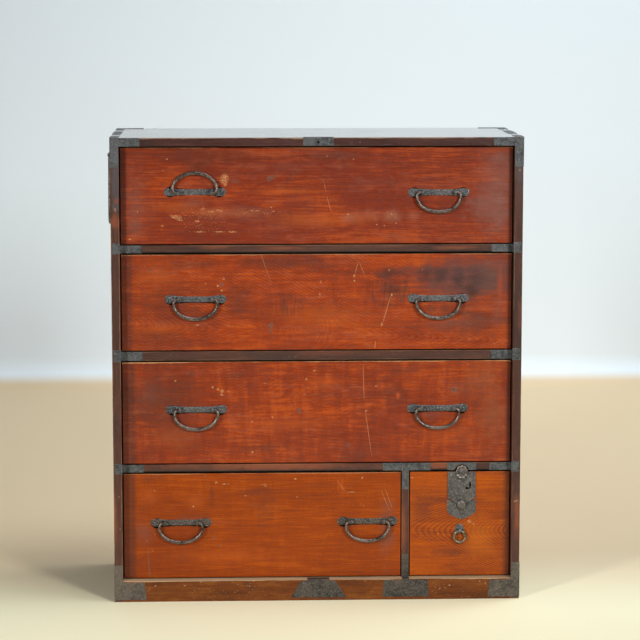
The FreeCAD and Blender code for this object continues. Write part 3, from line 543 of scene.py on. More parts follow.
    rub = 0.0
    if look.edgeWear:
        wear = look.edgeWear
        here = wearNoise("here")
        edge = edgeDistance(finish, low, high)
        rub = edge - (wearNoise("chew") + (here - 0.5) * 1.6) * wear * 3.4 + wear * 1.2
        rub = step(rub, wear, 0.0) * step(here, 0.34, 0.52)
        if look.wornAbove:
            rub = rub * step(finish.z, look.wornAbove - look.wornFade, look.wornAbove)
    if look.bareTop:
        up = finish.split(finish.add("ShaderNodeNewGeometry", out="Normal"))[2]
        rub = finish.most(rub, step(up, 0.5, 0.8) * look.bareTop * (0.6 + line * 0.7))
    if rub:
        lay(rub * look.rubShow, look.worn)
    if look.gapShade:
        # painted shade: a near-black band along the lower edge, where the gap below is in shade
        gapTop = low[2] + look.gapShade
        lay(step(finish.z, gapTop + look.gapShade * 0.4, gapTop), woodTints["gap"])
    if look.board:
        # painted shade and dirt just inside the gap, bare wood on the back of the board
        deep = finish.y - low[1]
        lay(step(deep, *look.grimeDepth), woodTints["shadeAndDirt"])
        lay(step(deep, *look.bareDepth), look.board)

    uneven = wearNoise("uneven")
    rounded = finish.add("ShaderNodeBevel", {"samples": 4}, {"Radius": look.rounding})
    normal = finish.bump(uneven, 0.25, 0.004, rounded)
    normal = finish.bump(fibre * 0.3 - pore * 0.9 - late * 0.3 - fleck * 1.5, 0.35, 0.0006, normal)
    roughness = look.gloss + pore * 0.2 + rub * 0.3 + smudge * 0.1 + (uneven - 0.5) * 0.14
    roughness = roughness + fleck * 0.3 + (line - 0.5) * 0.12
    coat = look.coat
    if look.glossyTop:
        # the boards' ends beside the top board shine as it does
        coat = step(high[2] - finish.z, *look.glossDepth) * (1 - coat) + coat
    coat = coat * (1 - rub) * (1 - fleck)
    finish.put(Base_Color=finish.colour, Roughness=roughness, Normal=normal, Coat_Weight=coat)
    finish.shader.inputs["Specular IOR Level"].default_value = look.sheen
    finish.shader.inputs["Coat Roughness"].default_value = look.coatRough
    return finish.material


def setMaterial(piece, material):
    piece.data.materials.clear()
    piece.data.materials.append(material)


def dress(nodeName, material):
    setMaterial(nodes[nodeName], material)


def boxOf(nodeName):
    low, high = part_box(nodeName)
    return tuple(low), tuple(high)


brightBand = (0.52, 0.105, 0.014)
brownShade = (0.105, 0.026, 0.014)
greyHaze = (0.170, 0.078, 0.058)

drawerLooks = {}
drawerLooks["drawer_1"] = dict(
    seed=3.1, curlShow=0.4, lineShow=1.7, smoky=(-404, 408), axis=0.70, heart=0.05, taper=0.03, tilt=0.02,
    wander=0.06, ringShow=0.5, ring=0.0052, bandShow=0.5, light=(0.37, 0.058, 0.008), middle=(0.23, 0.031, 0.008),
    stainShow=0.25, fleckCount=0.7, redder=0.5, haze=0.2, worn=(0.58, 0.26, 0.105),
    scuffs=((-250, 832, 70, 16), (-130, 838, 66, 8), (-235, 806, 60, 18), (68, 830, 15, 5), (157, 830, 16, 10),
        (207, 826, 6, 8)),
    tints=(
        (brightBand, 0.38, 1.0, ((-215, 836, 115, 9, -2), (-300, 850, 60, 14))),
        (brownShade, 0.50, 0.7, ((-225, 957, 138.6, 19.8), (-225, 948, 39.6, 11.9, 28), (38, 955, 81.8, 13.2),
            (-258, 930, 26.4, 11.9, 20))),
        (brightBand, 0.42, 1.0, ((6, 819, 118.8, 19.8), (-60, 880, 79.2, 7.9))),
        (greyHaze, 0.30, 0.9, ((-173, 835, 100.3, 17.2), (-387, 812, 19.8, 44.9), (68, 823, 17.2, 13.2),
            (159, 825, 19.8, 14.5), (392, 950, 22.4, 23.8), (-258, 856, 34.3, 11.9), (392, 850, 15.8, 79.2))),
        (greyHaze, 0.35, 0.9, ((-174, 902, 14.5, 7.9, -20), (312, 822, 5.3, 5.3), (318, 839, 5.3, 4))),
        ((0.26, 0.130, 0.105), 0.46, 1.1, ((378, 880, 56, 120),)),
        ((0.20, 0.085, 0.062), 0.46, 1.1, ((-384, 860, 40, 100),)),
        ((0.40, 0.130, 0.070), 0.30, 1.1, ((70, 824, 22, 13), (157, 828, 26, 14), (205, 826, 18, 12),
            (110, 830, 60, 12))),
    ),
    chips=((-196, 907, 8.6, 10.6, 20), (-193, 897, 4.6, 5.3), (-316, 949, 1.7, 1.6), (-324, 924, 1.8, 2.4),
        (-241, 844, 5.3, 2, 10), (-224, 838, 6.6, 2, 5), (-206, 840, 6.6, 2, -8), (-298, 827, 11.9, 4.2, -8),
        (-289, 820, 5.3, 2.1), (-254, 818, 5.3, 2), (-97, 847, 2.6, 1.8, -20), (-92, 838, 2.6, 1.8),
        (-139, 840, 5.3, 1.5), (-127, 839, 5.3, 1.3), (-248, 795, 11.9, 1.2), (-205, 795, 10.6, 1.2),
        (-179, 795, 7.9, 2), (-327, 808, 3.4, 1.5), (-379, 838, 1.8, 1.8), (-396, 780, 2.9, 1.5), (66, 831, 2.6, 1.3),
        (158, 832, 2.2, 2.4, 30), (127, 809, 2.1, 1.6), (143, 807, 1.8, 1.6), (168, 812, 1.8, 1.8),
        (21, 954, 1.5, 1.5), (78, 948, 2.1, 1.6)),
    scratches=((20, 872, 31, 834, 1.8), (14, 905, 20, 874, 1.2), (-260, 806, -240, 812, 1.3)),
    knots=((-101, 907, 4.8, 5.5), (-95, 911, 3.4, 4)))
drawerLooks["drawer_2"] = dict(
    seed=8.7, curlShow=0.45, lineShow=1.15, smoky=(-393, 406), axis=0.582, heart=0.014, taper=0.40, tilt=0.06,
    wander=0.040, ringShow=0.75, ring=0.0060, bandShow=0.28, light=(0.46, 0.078, 0.007), middle=(0.30, 0.041, 0.006),
    stainShow=0.25, slowAlong=2.6, redder=0.3, haze=0.18,
    swells=((0.040, (29, 580, 52, 26)), (-0.030, (-120, 600, 60, 34)), (0.028, (268, 690, 46, 26)), (0.018,
        (352, 640, 40, 30))),
    flames=((150, 664, 62, 36), (-60, 640, 40, 26)),
    tints=(
        (brownShade, 0.56, 1.0, ((-320, 640, 110, 60), (-340, 570, 90, 30), (300, 680, 150, 75), (340, 590, 90, 40))),
        (brightBand, 0.36, 1.0, ((-343, 702, 55.4, 35.6), (28, 606, 110.9, 39.6), (-330, 590, 79.2, 15.8))),
        (brownShade, 0.55, 0.8, ((-170, 652, 34.3, 37), (-57, 730, 112.2, 17.2), (-250, 725, 52.8, 13.2),
            (300, 622, 105.6, 10.6, -8))),
        ((0.118, 0.062, 0.058), 0.66, 1.1, ((310, 690, 130, 66),)),
        ((0.034, 0.023, 0.022), 0.75, 1.1, ((168, 669, 40.9, 34.3), (150, 700, 26.4, 15.8), (232, 700, 21.1, 19.8),
            (262, 699, 19.8, 21.1), (347, 692, 35.6, 23.8), (330, 664, 23.8, 29), (300, 690, 18.5, 23.8))),
        (greyHaze, 0.36, 1.1, ((300, 600, 97.7, 26.4), (366, 690, 29, 50.2), (385, 620, 24, 60))),
        ((0.40, 0.065, 0.016), 0.4, 0.8, ((390, 668, 6, 40),)),
    ),
    chips=((-198, 695, 2.6, 3.2), (-210, 680, 2.4, 2.4), (-202, 670, 2.4, 2.1), (-237, 685, 2.1, 1.5),
        (8, 688, 1.8, 2.9), (-254, 596, 4.2, 2.1), (79, 700, 2, 2.8), (80, 689, 2, 2.1), (6, 659, 1.3, 4.5),
        (153, 712, 1.8, 1.8), (138, 596, 1.8, 3.4), (159, 659, 1.8, 3.4), (98, 744, 1.6, 1.3)),
    scratches=((88, 733, 77, 691, 1.6), (88, 733, 105, 694, 1.3), (159, 663, 138, 592, 2.2),
        (125, 562, 123, 541, 2.6), (83, 714, 128, 939.8, 0.8), (-91, 668, -142.6, 814.4, 1.0)),
    knots=((-98, 595, 4.8, 5.3), (-354, 713, 3.2, 2), (-203, 682, 4, 4.8), (-97, 583, 1.7, 7.9)))
drawerLooks["drawer_3"] = dict(
    seed=14.9, curlShow=1.2, lineShow=1.1, smoky=(-389, 406), axis=0.385, heart=0.02, taper=-0.10, tilt=0.0,
    wander=0.075, ringShow=0.45, ring=0.0058, bandShow=0.22, light=(0.39, 0.063, 0.007), middle=(0.25, 0.034, 0.006),
    stainShow=0.25, slowAlong=5.0, redder=0.40, haze=0.2,
    swells=((0.020, (-60, 430, 60, 30)), (0.016, (180, 400, 60, 26))),
    tints=(
        (brownShade, 0.85, 1.1, ((-340, 420, 100, 100),)),
        (brightBand, 0.28, 1.1, ((-43, 444, 13.2, 21.1), (-68, 382, 118.8, 19.8), (296, 358, 81.8, 29),
            (-304, 354, 66, 29), (20, 470, 52.8, 18.5))),
        (brownShade, 0.55, 0.8, ((-378, 405, 52.8, 7.9), (161, 450, 37, 34.3), (-269, 491, 15.8, 9.2),
            (-171, 488, 23.8, 7.9), (-110, 330, 66, 13.2))),
        (greyHaze, 0.25, 1.1, ((-356, 446, 39.6, 44.9), (300, 456, 26.4, 23.8), (240, 400, 31.7, 13.2))),
        ((0.33, 0.104, 0.040), 0.46, 1.2, ((350, 476, 60, 50), (380, 400, 40, 90))),
        ((0.60, 0.10, 0.02), 0.5, 0.9, ((173, 443, 5.3, 9.2),)),
    ),
    chips=((-203, 454, 3.4, 3.7), (-204, 446, 3.2, 2.4), (-223, 462, 2.6, 2.2), (-212, 458, 2.4, 2.1),
        (-189, 453, 1.7, 1.6), (-369, 515, 3.4, 1.7), (-302, 476, 2, 2), (-6, 497, 2.9, 1.7, 30),
        (-23, 478, 2.1, 2.2), (-110, 470, 3.7, 1.3), (-139, 387, 2.4, 2), (-95, 396, 1.5, 3.7, 25),
        (-139, 321, 2.2, 2.2), (126, 463, 1.8, 2.1), (105, 409, 1.6, 1.5)),
    scratches=((98, 517, 101, 425, 1.7), (101, 425, 119, 300, 1.6), (104, 410, 114, 409, 1.0)),
    knots=((-38, 410, 3.8, 6.6), (293, 453, 5.8, 6.1), (66, 335, 4, 4)))
drawerLooks["drawer_4"] = dict(
    seed=21.3, curlShow=0.35, smoky=(-390, 2000), axis=-0.20, heart=0.06, taper=0.03, tilt=0.01, wander=0.07,
    ringShow=0.30, ring=0.0050, bandShow=0.20, light=(0.39, 0.073, 0.003), middle=(0.262, 0.041, 0.002), sheen=0.13,
    stainShow=0.15, redder=0.0, worn=(0.60, 0.33, 0.15), mottleShow=0.45, cloudShow=0.9,
    swells=((0.014, (-230, 140, 50, 26)),),
    tints=(
        ((0.18, 0.025, 0.003), 0.50, 1.0, ((-335, 150, 110, 110),)),
        (brightBand, 0.32, 1.1, ((-362, 227, 31.7, 21.1), (-262, 218, 23.8, 22.4), (-187, 94, 145.2, 19.8),
            (54, 248, 5.3, 22.4), (46, 246, 2.6, 15.8))),
        (brownShade, 0.45, 0.8, ((-226, 235, 6.6, 29), (-114, 188, 26.4, 34.3), (-358, 266, 42.2, 9.2),
            (-130, 235, 39.6, 10.6))),
        (greyHaze, 0.40, 0.9, ((-372, 151, 22.4, 31.7), (-262, 170, 79.2, 10.6), (150, 150, 18.5, 79.2))),
    ),
    chips=((-216, 255, 2.4, 2), (-200, 252, 4.2, 1.2), (-190, 252, 3.2, 1.2), (-154, 226, 2.3, 1.4),
        (-266, 203, 2, 1.7), (-46, 262, 3.4, 1.3, -10), (-113, 251, 4.4, 1, 8), (-110, 247, 4, 0.9),
        (-348, 239, 1.9, 1.2), (-240, 270, 2.5, 1.3), (-43, 222, 2, 1.3), (74, 232, 7.5, 1.1),
        (97, 263, 1.4, 3.4, -20), (130, 46, 2.6, 2)),
    scratches=((136, 241, 157, 188, 1.2), (144, 245, 164, 190, 1.0), (40, 262, 66, 226, 0.9)),
    knots=((-224, 133, 2, 2), (-218, 134, 1.8, 1.7), (-212, 118, 2.2, 3), (-362, 76, 1.2, 39.6, 3)))
drawerLooks["drawer_5"] = dict(
    seed=27.7, smoky=(-2000, 402), axis=0.146, heart=0.034, taper=-0.42, tilt=0.0, wander=0.034, ringShow=1.0,
    ring=0.0046, bandShow=0.2, mottleShow=0.5, cloudShow=0.9, light=(0.50, 0.115, 0.004), middle=(0.35, 0.062, 0.003),
    sheen=0.13, stainShow=0.15, slowAlong=4.0,
    tints=(
        ((0.52, 0.135, 0.010), 0.4, 0.9, ((350, 130, 44, 52.8),)),
        (brownShade, 0.45, 0.7, ((288, 99, 44.9, 10.6), (225, 190, 26.4, 39.6), (300, 215, 79.2, 10.6))),
        ((0.16, 0.028, 0.006), 0.4, 0.9, ((392, 200, 26.4, 70),)),
        # painted shade seen through the keyhole
        ((0.010, 0.007, 0.006), 1.0, 0.4, ((325, 245, 8, 9),)),
    ),
    chips=((328, 166, 4, 3.4, 30), (338, 160, 2.6, 2.1), (262, 140, 1.7, 1.7), (205, 262, 4, 1.3)),
    scratches=((322, 168, 340, 160, 1.2),),
    knots=((328, 52, 2.9, 2.2),))
caseLook = dict(
    light=(0.105, 0.042, 0.027), middle=(0.066, 0.026, 0.018), dark=(0.026, 0.014, 0.012),
    stain=(0.030, 0.019, 0.016), worn=(0.40, 0.22, 0.11), ringShow=0.35, ring=0.0045,
    edgeWear=0.0010, rubShow=0.5, fleckCount=1.0, gloss=0.44, sheen=0.25, coat=0.06,
    axis=0.4, heart=0.05, taper=0.01)
bareLook = dict(
    light=(0.62, 0.44, 0.27), middle=(0.50, 0.33, 0.19), dark=(0.30, 0.18, 0.10),
    stain=(0.20, 0.14, 0.09), worn=(0.66, 0.50, 0.33), ringShow=0.6, ring=0.0062, axis=0.1,
    edgeWear=0.0, fleckCount=0.0, gloss=0.62, sheen=0.3, coat=0.0, stainShow=0.35,
    wander=0.06)
redWorn = (0.21, 0.058, 0.026)
sideLook = dict(
    grain="z", face="x", edgeWear=0.0011, rubShow=0.32, glossyTop=True, tintDeep=0.012,
    tints=(
        ((0.082, 0.066, 0.072), 0.85, 0.8, ((-425, 915, 12, 62), (-424, 850, 8, 10), (426, 930, 10, 70))),
        (redWorn, 0.85, 0.8, ((-426, 818, 12, 17), (-422, 862, 4, 5), (429, 183, 8, 60), (-434, 180, 8, 70),
            (430, 620, 6, 50))),
    ),
    chips=((427, 214, 5, 2, 10), (-425, 844, 2, 3), (428, 925, 2, 2.4), (-412, 400, 1.6, 4),
        (-413, 425, 1.2, 2.5), (-411, 378, 1.4, 6), (-413, 345, 1.2, 3), (-424, 230, 2, 1.4),
        (-422, 160, 1.6, 1.2)))
topLook = dict(
    face="z", seed=44.0, light=(0.096, 0.037, 0.028), middle=(0.058, 0.022, 0.018), gloss=0.22,
    coat=1.0, worn=(0.60, 0.44, 0.30), rubShow=0.4, edgeWear=0.0015)
# seed, the painted gap shade along the lower edge, and what is worn red
railLooks = {
    "rail_upper": (50.0, 0.0019, ((redWorn, 0.7, 0.8, ((-216, 763, 30, 5), (-70, 760, 60, 5), (300, 760, 50, 4))),)),
    "rail_middle": (51.0, 0.0, ((redWorn, 0.25, 0.8, ((0, 535, 200, 6),)),)),
    "rail_lower": (52.0, 0.0019, ((redWorn, 1.0, 0.8, ((-100, 292, 260, 12), (250, 292, 60, 12))),)),
}
footLook = dict(
    seed=55.0, light=(0.205, 0.064, 0.012), middle=(0.140, 0.038, 0.008),
    dark=(0.060, 0.020, 0.008), worn=(0.60, 0.42, 0.25), sheen=0.12, coat=0.02, bareTop=0.9,
    rubShow=0.8, fleckCount=2.4, fleckShow=0.5, edgeWear=0.0006, mottleShow=1.6,
    cloudShow=1.9, bandShow=0.7, stainShow=0.75)
# seed, how many, where across and where up, and size
footChips = ((5, 28, (-370, 380), (24, 47), 1.7), (6, 12, (-370, 380), (47, 51), 2.6))
dividerLook = dict(
    grain="z", seed=57.0, rubShow=0.15, tints=((redWorn, 0.7, 0.8, ((185, 160, 10, 70),)),))
drawerBack = (0.42, 0.27, 0.15)
# bare wood on the fronts' top faces, and the rub along their upper edges
topWear = {"drawer_1": (0.1, 0.6), "drawer_2": (0.2, 0.4), "drawer_3": (0.85, 0.75), "drawer_4": (0.4, 0.3),
           "drawer_5": (0.1, 0.15)}
# how far below the top each board's edges are worn
wornDepth = {"front": 0.003, "top": 0.004, "foot": 0.007}


# small chips strewn over part of a front
def strewn(seed, count, xRange, zRange, size):
    draw = random.Random(seed)
    spots = []
    for i in range(count):
        wide = draw.uniform(0.6, 1.5) * size
        spots.append((draw.uniform(*xRange), draw.uniform(*zRange), wide, draw.uniform(0.35, 0.8) * wide,
                      draw.uniform(-30, 30)))
    return tuple(spots)


# one board gets a wood of its own
def dressBoard(nodeName, materialName, base, **changes):
    dress(nodeName, makeWood(materialName, boxOf(nodeName), **dict(base, **changes)))


def dressWood():
    bareWalls = makeWood("drawerWallsBare", boxOf("drawer_1_walls"), **dict(bareLook, grain="y", face="x", seed=4.0))
    bareBottoms = makeWood("drawerBottomsBare", boxOf("drawer_1_bottom"), **dict(bareLook, face="z", seed=5.0))
    for drawer, look in drawerLooks.items():
        front = drawer + "_front"
        bare, rub = topWear[drawer]
        dressBoard(front, front + "Lacquer", look, bareTop=bare, board=drawerBack, rubShow=rub,
                   wornAbove=boxOf(front)[1][2] - wornDepth["front"])
        dress(drawer + "_walls", bareWalls)
        dress(drawer + "_bottom", bareBottoms)
    for i, side in enumerate(("side_left", "side_right")):
        dressBoard(side, side + "Lacquer", dict(caseLook, **sideLook), seed=40.0 + i)
    dressBoard("top_board", "topLacquer", dict(caseLook, **topLook),
               wornAbove=boxOf("top_board")[1][2] - wornDepth["top"])
    for rail, (seed, gap, tints) in railLooks.items():
        dressBoard(rail, rail + "Lacquer", caseLook, seed=seed, tints=tints, rubShow=0.22, gapShade=gap)
    low, high = footChips
    dressBoard("foot_rail_front", "footRailLacquer", dict(caseLook, **footLook), chips=strewn(*low) + strewn(*high),
               wornAbove=boxOf("foot_rail_front")[1][2] - wornDepth["foot"])
    dressBoard("divider", "dividerLacquer", dict(caseLook, **dividerLook))
    dress("bottom_board", bareBottoms)
    dress("dust_boards", bareBottoms)
    bareBack = makeWood("backBare", boxOf("back_boards"), **dict(bareLook, seed=66.0, planks=3))
    dress("foot_rail_rear", bareBack)
    dress("back_boards", bareBack)


dressWood()
print("wood is finished")

# what the irons share, then the colours of each and what differs
ironBase = dict(rustShow=0.2, speckShow=0.45, rough=0.46, metal=0.5, rimShow=0.45, grit=0.8, hammer=0.6,
                rounding=0.0011)
ironLooks = {
    "strapIron": dict(seed=2.0, dark=(0.040, 0.043, 0.047), middle=(0.102, 0.107, 0.113), light=(0.26, 0.265, 0.27),
        rim=(0.34, 0.34, 0.335), rust=(0.135, 0.085, 0.055), metal=0.55, grit=0.75),
    "footIron": dict(seed=4.0, dark=(0.048, 0.042, 0.036), middle=(0.118, 0.098, 0.080), light=(0.29, 0.24, 0.19),
        rim=(0.33, 0.30, 0.26), rust=(0.22, 0.130, 0.075), rustShow=0.35, speckShow=0.3, rough=0.56, metal=0.40,
        rimShow=0.3),
    "footPlateIron": dict(seed=7.0, dark=(0.020, 0.021, 0.021), middle=(0.068, 0.061, 0.054),
        light=(0.24, 0.20, 0.16), rim=(0.30, 0.27, 0.22), rust=(0.16, 0.095, 0.055), rustShow=0.35, rough=0.52,
        metal=0.45, rimShow=0.3, grit=0.9),
    "lockIron": dict(seed=6.0, dark=(0.060, 0.058, 0.058), middle=(0.112, 0.106, 0.103), light=(0.33, 0.30, 0.28),
        rim=(0.42, 0.36, 0.31), rust=(0.23, 0.15, 0.105), rustShow=0.22, rimShow=0.75, grit=0.9),
    "pullIron": dict(seed=5.0, dark=(0.042, 0.045, 0.050), middle=(0.112, 0.114, 0.120), light=(0.34, 0.33, 0.32),
        rim=(0.36, 0.35, 0.34), rust=(0.17, 0.095, 0.065), rustShow=0.18, speckShow=0.85, rough=0.44, rimShow=0.4,
        grit=1.3),
    "rosetteIron": dict(seed=11.0, dark=(0.050, 0.046, 0.045), middle=(0.125, 0.112, 0.105), light=(0.36, 0.31, 0.28),
        rim=(0.50, 0.43, 0.40), rust=(0.23, 0.15, 0.105), speckShow=0.5, rough=0.42, rimShow=1.0),
    "eyeIron": dict(seed=12.0, dark=(0.062, 0.066, 0.072), middle=(0.135, 0.140, 0.150), light=(0.34, 0.34, 0.34),
        rim=(0.42, 0.42, 0.42), rust=(0.17, 0.095, 0.065), rustShow=0.12, speckShow=0.5, rough=0.44, rimShow=0.5),
    "ringIron": dict(seed=13.0, dark=(0.090, 0.066, 0.045), middle=(0.240, 0.185, 0.130), light=(0.50, 0.42, 0.31),
        rim=(0.50, 0.46, 0.42), rust=(0.14, 0.080, 0.045), rustShow=0.4, speckShow=0.4, rough=0.34, metal=0.72,
        rimShow=0.15, hammer=0.35),
    "lowPullIron": dict(seed=15.0, dark=(0.026, 0.023, 0.021), middle=(0.090, 0.076, 0.068), light=(0.36, 0.31, 0.27),
        rim=(0.36, 0.31, 0.27), rust=(0.15, 0.085, 0.055), rustShow=0.3, speckShow=0.85, rimShow=0.5, grit=1.3),
    "wornPullIron": dict(seed=9.0, dark=(0.052, 0.040, 0.035), middle=(0.185, 0.142, 0.123),
        light=(0.46, 0.39, 0.345), rim=(0.50, 0.46, 0.42), rust=(0.12, 0.070, 0.048), rustShow=0.30, rough=0.34,
        metal=0.78, rimShow=0.15, hammer=0.4),
}

ironNoises = {
    "mottled": (75.0, 5.0, 0.62, 0.0),
    "broad": (16.0, 3.0, 0.55, 4.0),
    "grit": (300.0, 3.0, 0.62, 8.0),
    "fine": (900.0, 2.0, 0.6, 9.0),
    "rusty": (150.0, 5.0, 0.68, 13.0),
}
paintedShadeColour = (0.012, 0.011, 0.011)
keyholeShadeColour = (0.008, 0.007, 0.007)


# like names another iron's values. Ovals on the front give painted shade round the raised heads,
# a rubbed lip and painted shade in the keyhole; the outline of a plate above gets painted shadow along it
def makeIron(name, like=None, shadeAndDirt=(), plateShadowOutline=None, keyholeShadeOvals=(), lip=()):
    look = SimpleNamespace(**(ironBase | ironLooks[like or name]))
    seed = look.seed
    finish = Finish(name)
    mix, step, lay = finish.mix, finish.step, finish.lay
    mottled, broad, grit, fine, rusty = (finish.plainNoise(row, seed) for row in ironNoises.values())
    tone = mottled * 0.8 + (broad - 0.5) * 0.5 + (grit - 0.5) * look.grit
    finish.colour = mix(step(tone, 0.18, 0.52), look.dark, look.middle)
    pale = step(grit * 0.7 + fine * 0.3, 0.54, 0.64) * look.speckShow
    lay(pale, look.light)
    rusty = step(rusty + (broad - 0.5) * 0.35, 0.50, 0.66) * look.rustShow
    lay(rusty, look.rust)
    rounded = finish.add("ShaderNodeBevel", {"samples": 4}, {"Radius": look.rounding})
    flat = finish.add("ShaderNodeNewGeometry", out="Normal")
    bend = finish.add("ShaderNodeVectorMath", {"operation": "DOT_PRODUCT"}, {0: rounded, 1: flat}, out="Value")
    edge = step(bend + (grit - 0.5) * 0.14, 0.985, 0.86) * look.rimShow * step(mottled, 0.30, 0.55)
    lay(edge, look.rim)
    if lip:
        rubbed = step(finish.ovals(lip) + (grit - 0.5) * 0.2, 0.70, 0.84) * step(mottled, 0.30, 0.50)
        lay(rubbed * 0.38, look.rim)
    # painted shade round the raised heads, and painted shadow along the plate above
    if shadeAndDirt:
        ring = step(finish.ovals(shadeAndDirt) + (mottled - 0.5) * 0.4, 1.42, 1.0)
        lay(ring * 0.42, paintedShadeColour)
    if plateShadowOutline:
        middleX, top, corners = plateShadowOutline
        across = finish.size(finish.x * 1000 - middleX)
        down = top - finish.z * 1000
        outside = across - corners[0][0]
        for (x1, z1), (x2, z2) in zip(corners, corners[1:]):
            length = math.hypot(x2 - x1, z2 - z1)
            outside = finish.most(outside, ((across - x1) * (z2 - z1) + (down - z1) * (x1 - x2)) / length)
        # painted shadow of the thicker plate above, along its outline on the foot plate
        lay(step(outside, 4.6, 1.0) * 0.9, paintedShadeColour)
    if keyholeShadeOvals:
        # painted shade in the keyhole: the plate is near black over its opening
        worn = step(finish.ovals(keyholeShadeOvals) + (grit - 0.5) * 0.6, 1.3, 0.8)
        lay(worn * 0.95, keyholeShadeColour)
    hammered = finish.cells(finish.place, 140.0, seed=seed)
    normal = finish.bump(hammered * 0.5 + mottled * 0.9, look.hammer, 0.0008, rounded)
    normal = finish.bump(grit * 0.7 + fine * 0.3, look.hammer * 0.6, 0.0004, normal)
    roughness = look.rough + (mottled - 0.5) * 0.3 + rusty * 0.2 - edge * 0.12 + (grit - 0.5) * 0.2
    metal = look.metal - rusty * 0.5
    finish.put(Base_Color=finish.colour, Metallic=metal, Normal=normal, Roughness=roughness)
    return finish.material


lockSpot = {
    "plateCorners": ((30.0, 56.0), (11.0, 69.0), (0.0, 77.0)),
    # the painted shade round the rosette and round the button, the button's ring set lower as its shadow falls
    "rosetteShadeRing": (12.6, 14.2),
    "rosetteLip": (12.8, 14.6),
    "buttonShadeRing": (9.6, 10.4),
    "buttonShadeDrop": 0.8,
    "buttonLip": (10.4, 10.4),
    # ovals beside the lock's middle: across, below the front's top, half width, half height
    "keyhole": ((18.2, 28.5, 2.2, 6.2), (12.0, 36.0, 3.6, 2.6)),
}
# the iron of each node, by how its name ends; the first row that fits counts
ironEndings = (
    ("strapIron", ("cover_lock_plate", "strike_plate", "lock_case", "_straps", "_strap", "_nails", "_pins")),
    ("footIron", "foot_corner_irons"),
    ("footPlateIron", "foot_plates"),
    ("lockPlateIron", "lock_plate"),
    ("lockFootIron", "lock_foot_plate"),
    ("rosetteIron", ("lock_rosette", "lock_button")),
    ("pullIron", ("_pull_irons", "ring_eye", "lock_bolt")),
    ("ringIron", "ring_pull"),
    ("wornPullIron", ("_bail_left", "_bail_right", "side_handle_left", "side_handle_right")),
    ("strapIron", "_irons"))


def middleOf(nodeName):
    low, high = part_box(nodeName)
    return (low + high) / 2


def dressIron():
    made = {name: makeIron(name) for name in ironLooks}
    rosette, button = middleOf("lock_rosette") * 1000, middleOf("lock_button") * 1000
    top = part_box("drawer_5_front")[1].z * 1000
    spot = lockSpot
    shadeAndDirt = ((rosette.x, rosette.z, *spot["rosetteShadeRing"]),
             (button.x, button.z - spot["buttonShadeDrop"], *spot["buttonShadeRing"]))
    rosetteLip = (rosette.x, rosette.z, *spot["rosetteLip"])
    buttonLip = (button.x, button.z, *spot["buttonLip"])
    made["rosetteIron"] = makeIron("rosetteLipIron", "rosetteIron", lip=(rosetteLip,))
    made["buttonIron"] = makeIron("buttonIron", "rosetteIron", lip=(buttonLip,))
    keyholeShadeOvals = [(rosette.x + x, top - down, wide, tall) for x, down, wide, tall in spot["keyhole"]]
    made["lockPlateIron"] = makeIron("lockPlateIron", "lockIron", shadeAndDirt, keyholeShadeOvals=keyholeShadeOvals)
    made["lockFootIron"] = makeIron("lockFootIron", "lockIron", shadeAndDirt[1:], (rosette.x, top, spot["plateCorners"]))
    for node in nodes:
        fitting = [iron for iron, endings in ironEndings if node.endswith(endings)]
        if fitting:
            dress(node, made[fitting[0]])
    return made


irons = dressIron()
print("iron is finished")

softEdge = {"steps": 2, "sharperThan": 32}


def soften(piece, width):
    bevel = piece.modifiers.new("softEdges", "BEVEL")
    bevel.width = width
    bevel.segments = softEdge["steps"]
    bevel.limit_method = "ANGLE"
    bevel.angle_limit = math.radians(softEdge["sharperThan"])
    bpy.context.view_layer.objects.active = piece
    bpy.ops.object.modifier_apply(modifier=bevel.name)


def finishPiece(piece, material, smoothBelow=35):
    hold(piece)
    bpy.ops.object.shade_smooth_by_angle(angle=math.radians(smoothBelow))
    setMaterial(piece, material)


# uneven, as forged: the vertices for which test is true move a little. dents is how far,
# how evenly, and the seed
def dent(test, dents):
    offset, uniform, seed = dents
    pick("VERT", test)
    bpy.ops.transform.vertex_random(offset=offset, uniform=uniform, seed=seed)


# a copy of its own
def duplicate(source, name):
    hold(source)
    bpy.ops.object.duplicate(linked=False)
    piece = bpy.context.object
    piece.name = name
    return piece


# a flat block for a plate, in edit mode: depths are in front of the wood and into it, in millimetres
def startPlate(look, middleX, middleZ, wood, wide, tall):
    front, back = look["front"], look["back"]
    letGo()
    bpy.ops.mesh.primitive_cube_add(size=1.0, location=(middleX, wood + (back - front) / 2000, middleZ))
    plate = bpy.context.object
    plate.dimensions = (wide, (front + back) / 1000, tall)
    setPlace()
    setMode("EDIT")
    return plate


# a disc that faces the front
def startDisc(name, around, radius, thick, place):
    letGo()
    bpy.ops.mesh.primitive_cylinder_add(vertices=around, radius=radius, depth=thick,
                                        rotation=(math.pi / 2, 0, 0), location=place)
    disc = bpy.context.object
    disc.name = name
    return disc


# true for an edge of a millimetre or more along the axis
def runsAlong(edge, axis):
    start, end = edge.verts
    return abs(start.co[axis] - end.co[axis]) > 0.001


def facesFront(face):
    return face.normal.y < -0.9


def facesBack(face):
    return face.normal.y > 0.9


# half heights along half a plate, in millimetres
pullPlate = {
    "half": 65.0,
    "front": 1.15,
    "back": 0.25,
    "outline": ((0.0, 6.1), (26.0, 6.15), (36.0, 6.6), (43.0, 7.5), (49.0, 8.4), (55.0, 8.7), (59.0, 8.3),
                (62.0, 7.2), (64.0, 5.4), (65.0, 3.4)),
    "cuts": 51,
    "cutsUp": 4,
    "dents": (0.00016, 0.4, 5),
    "edge": 0.00042,
    "uneven": 0.0011,   # the top drawer's left plate sits higher than its middle by this, the right one lower
}
# the slab that a plate of the nodes fills, in front of the wood and into it, and how close
# vertices of the pins that are left are joined
pinCut = {"front": 0.0009, "back": 0.0003, "weld": 1e-6}


def plateHeight(x):
    steps = pullPlate["outline"]
    for (x1, h1), (x2, h2) in zip(steps, steps[1:]):
        if x <= x2 + near:
            return h1 + (h2 - h1) * (x - x1) / (x2 - x1)
    return steps[-1][1]


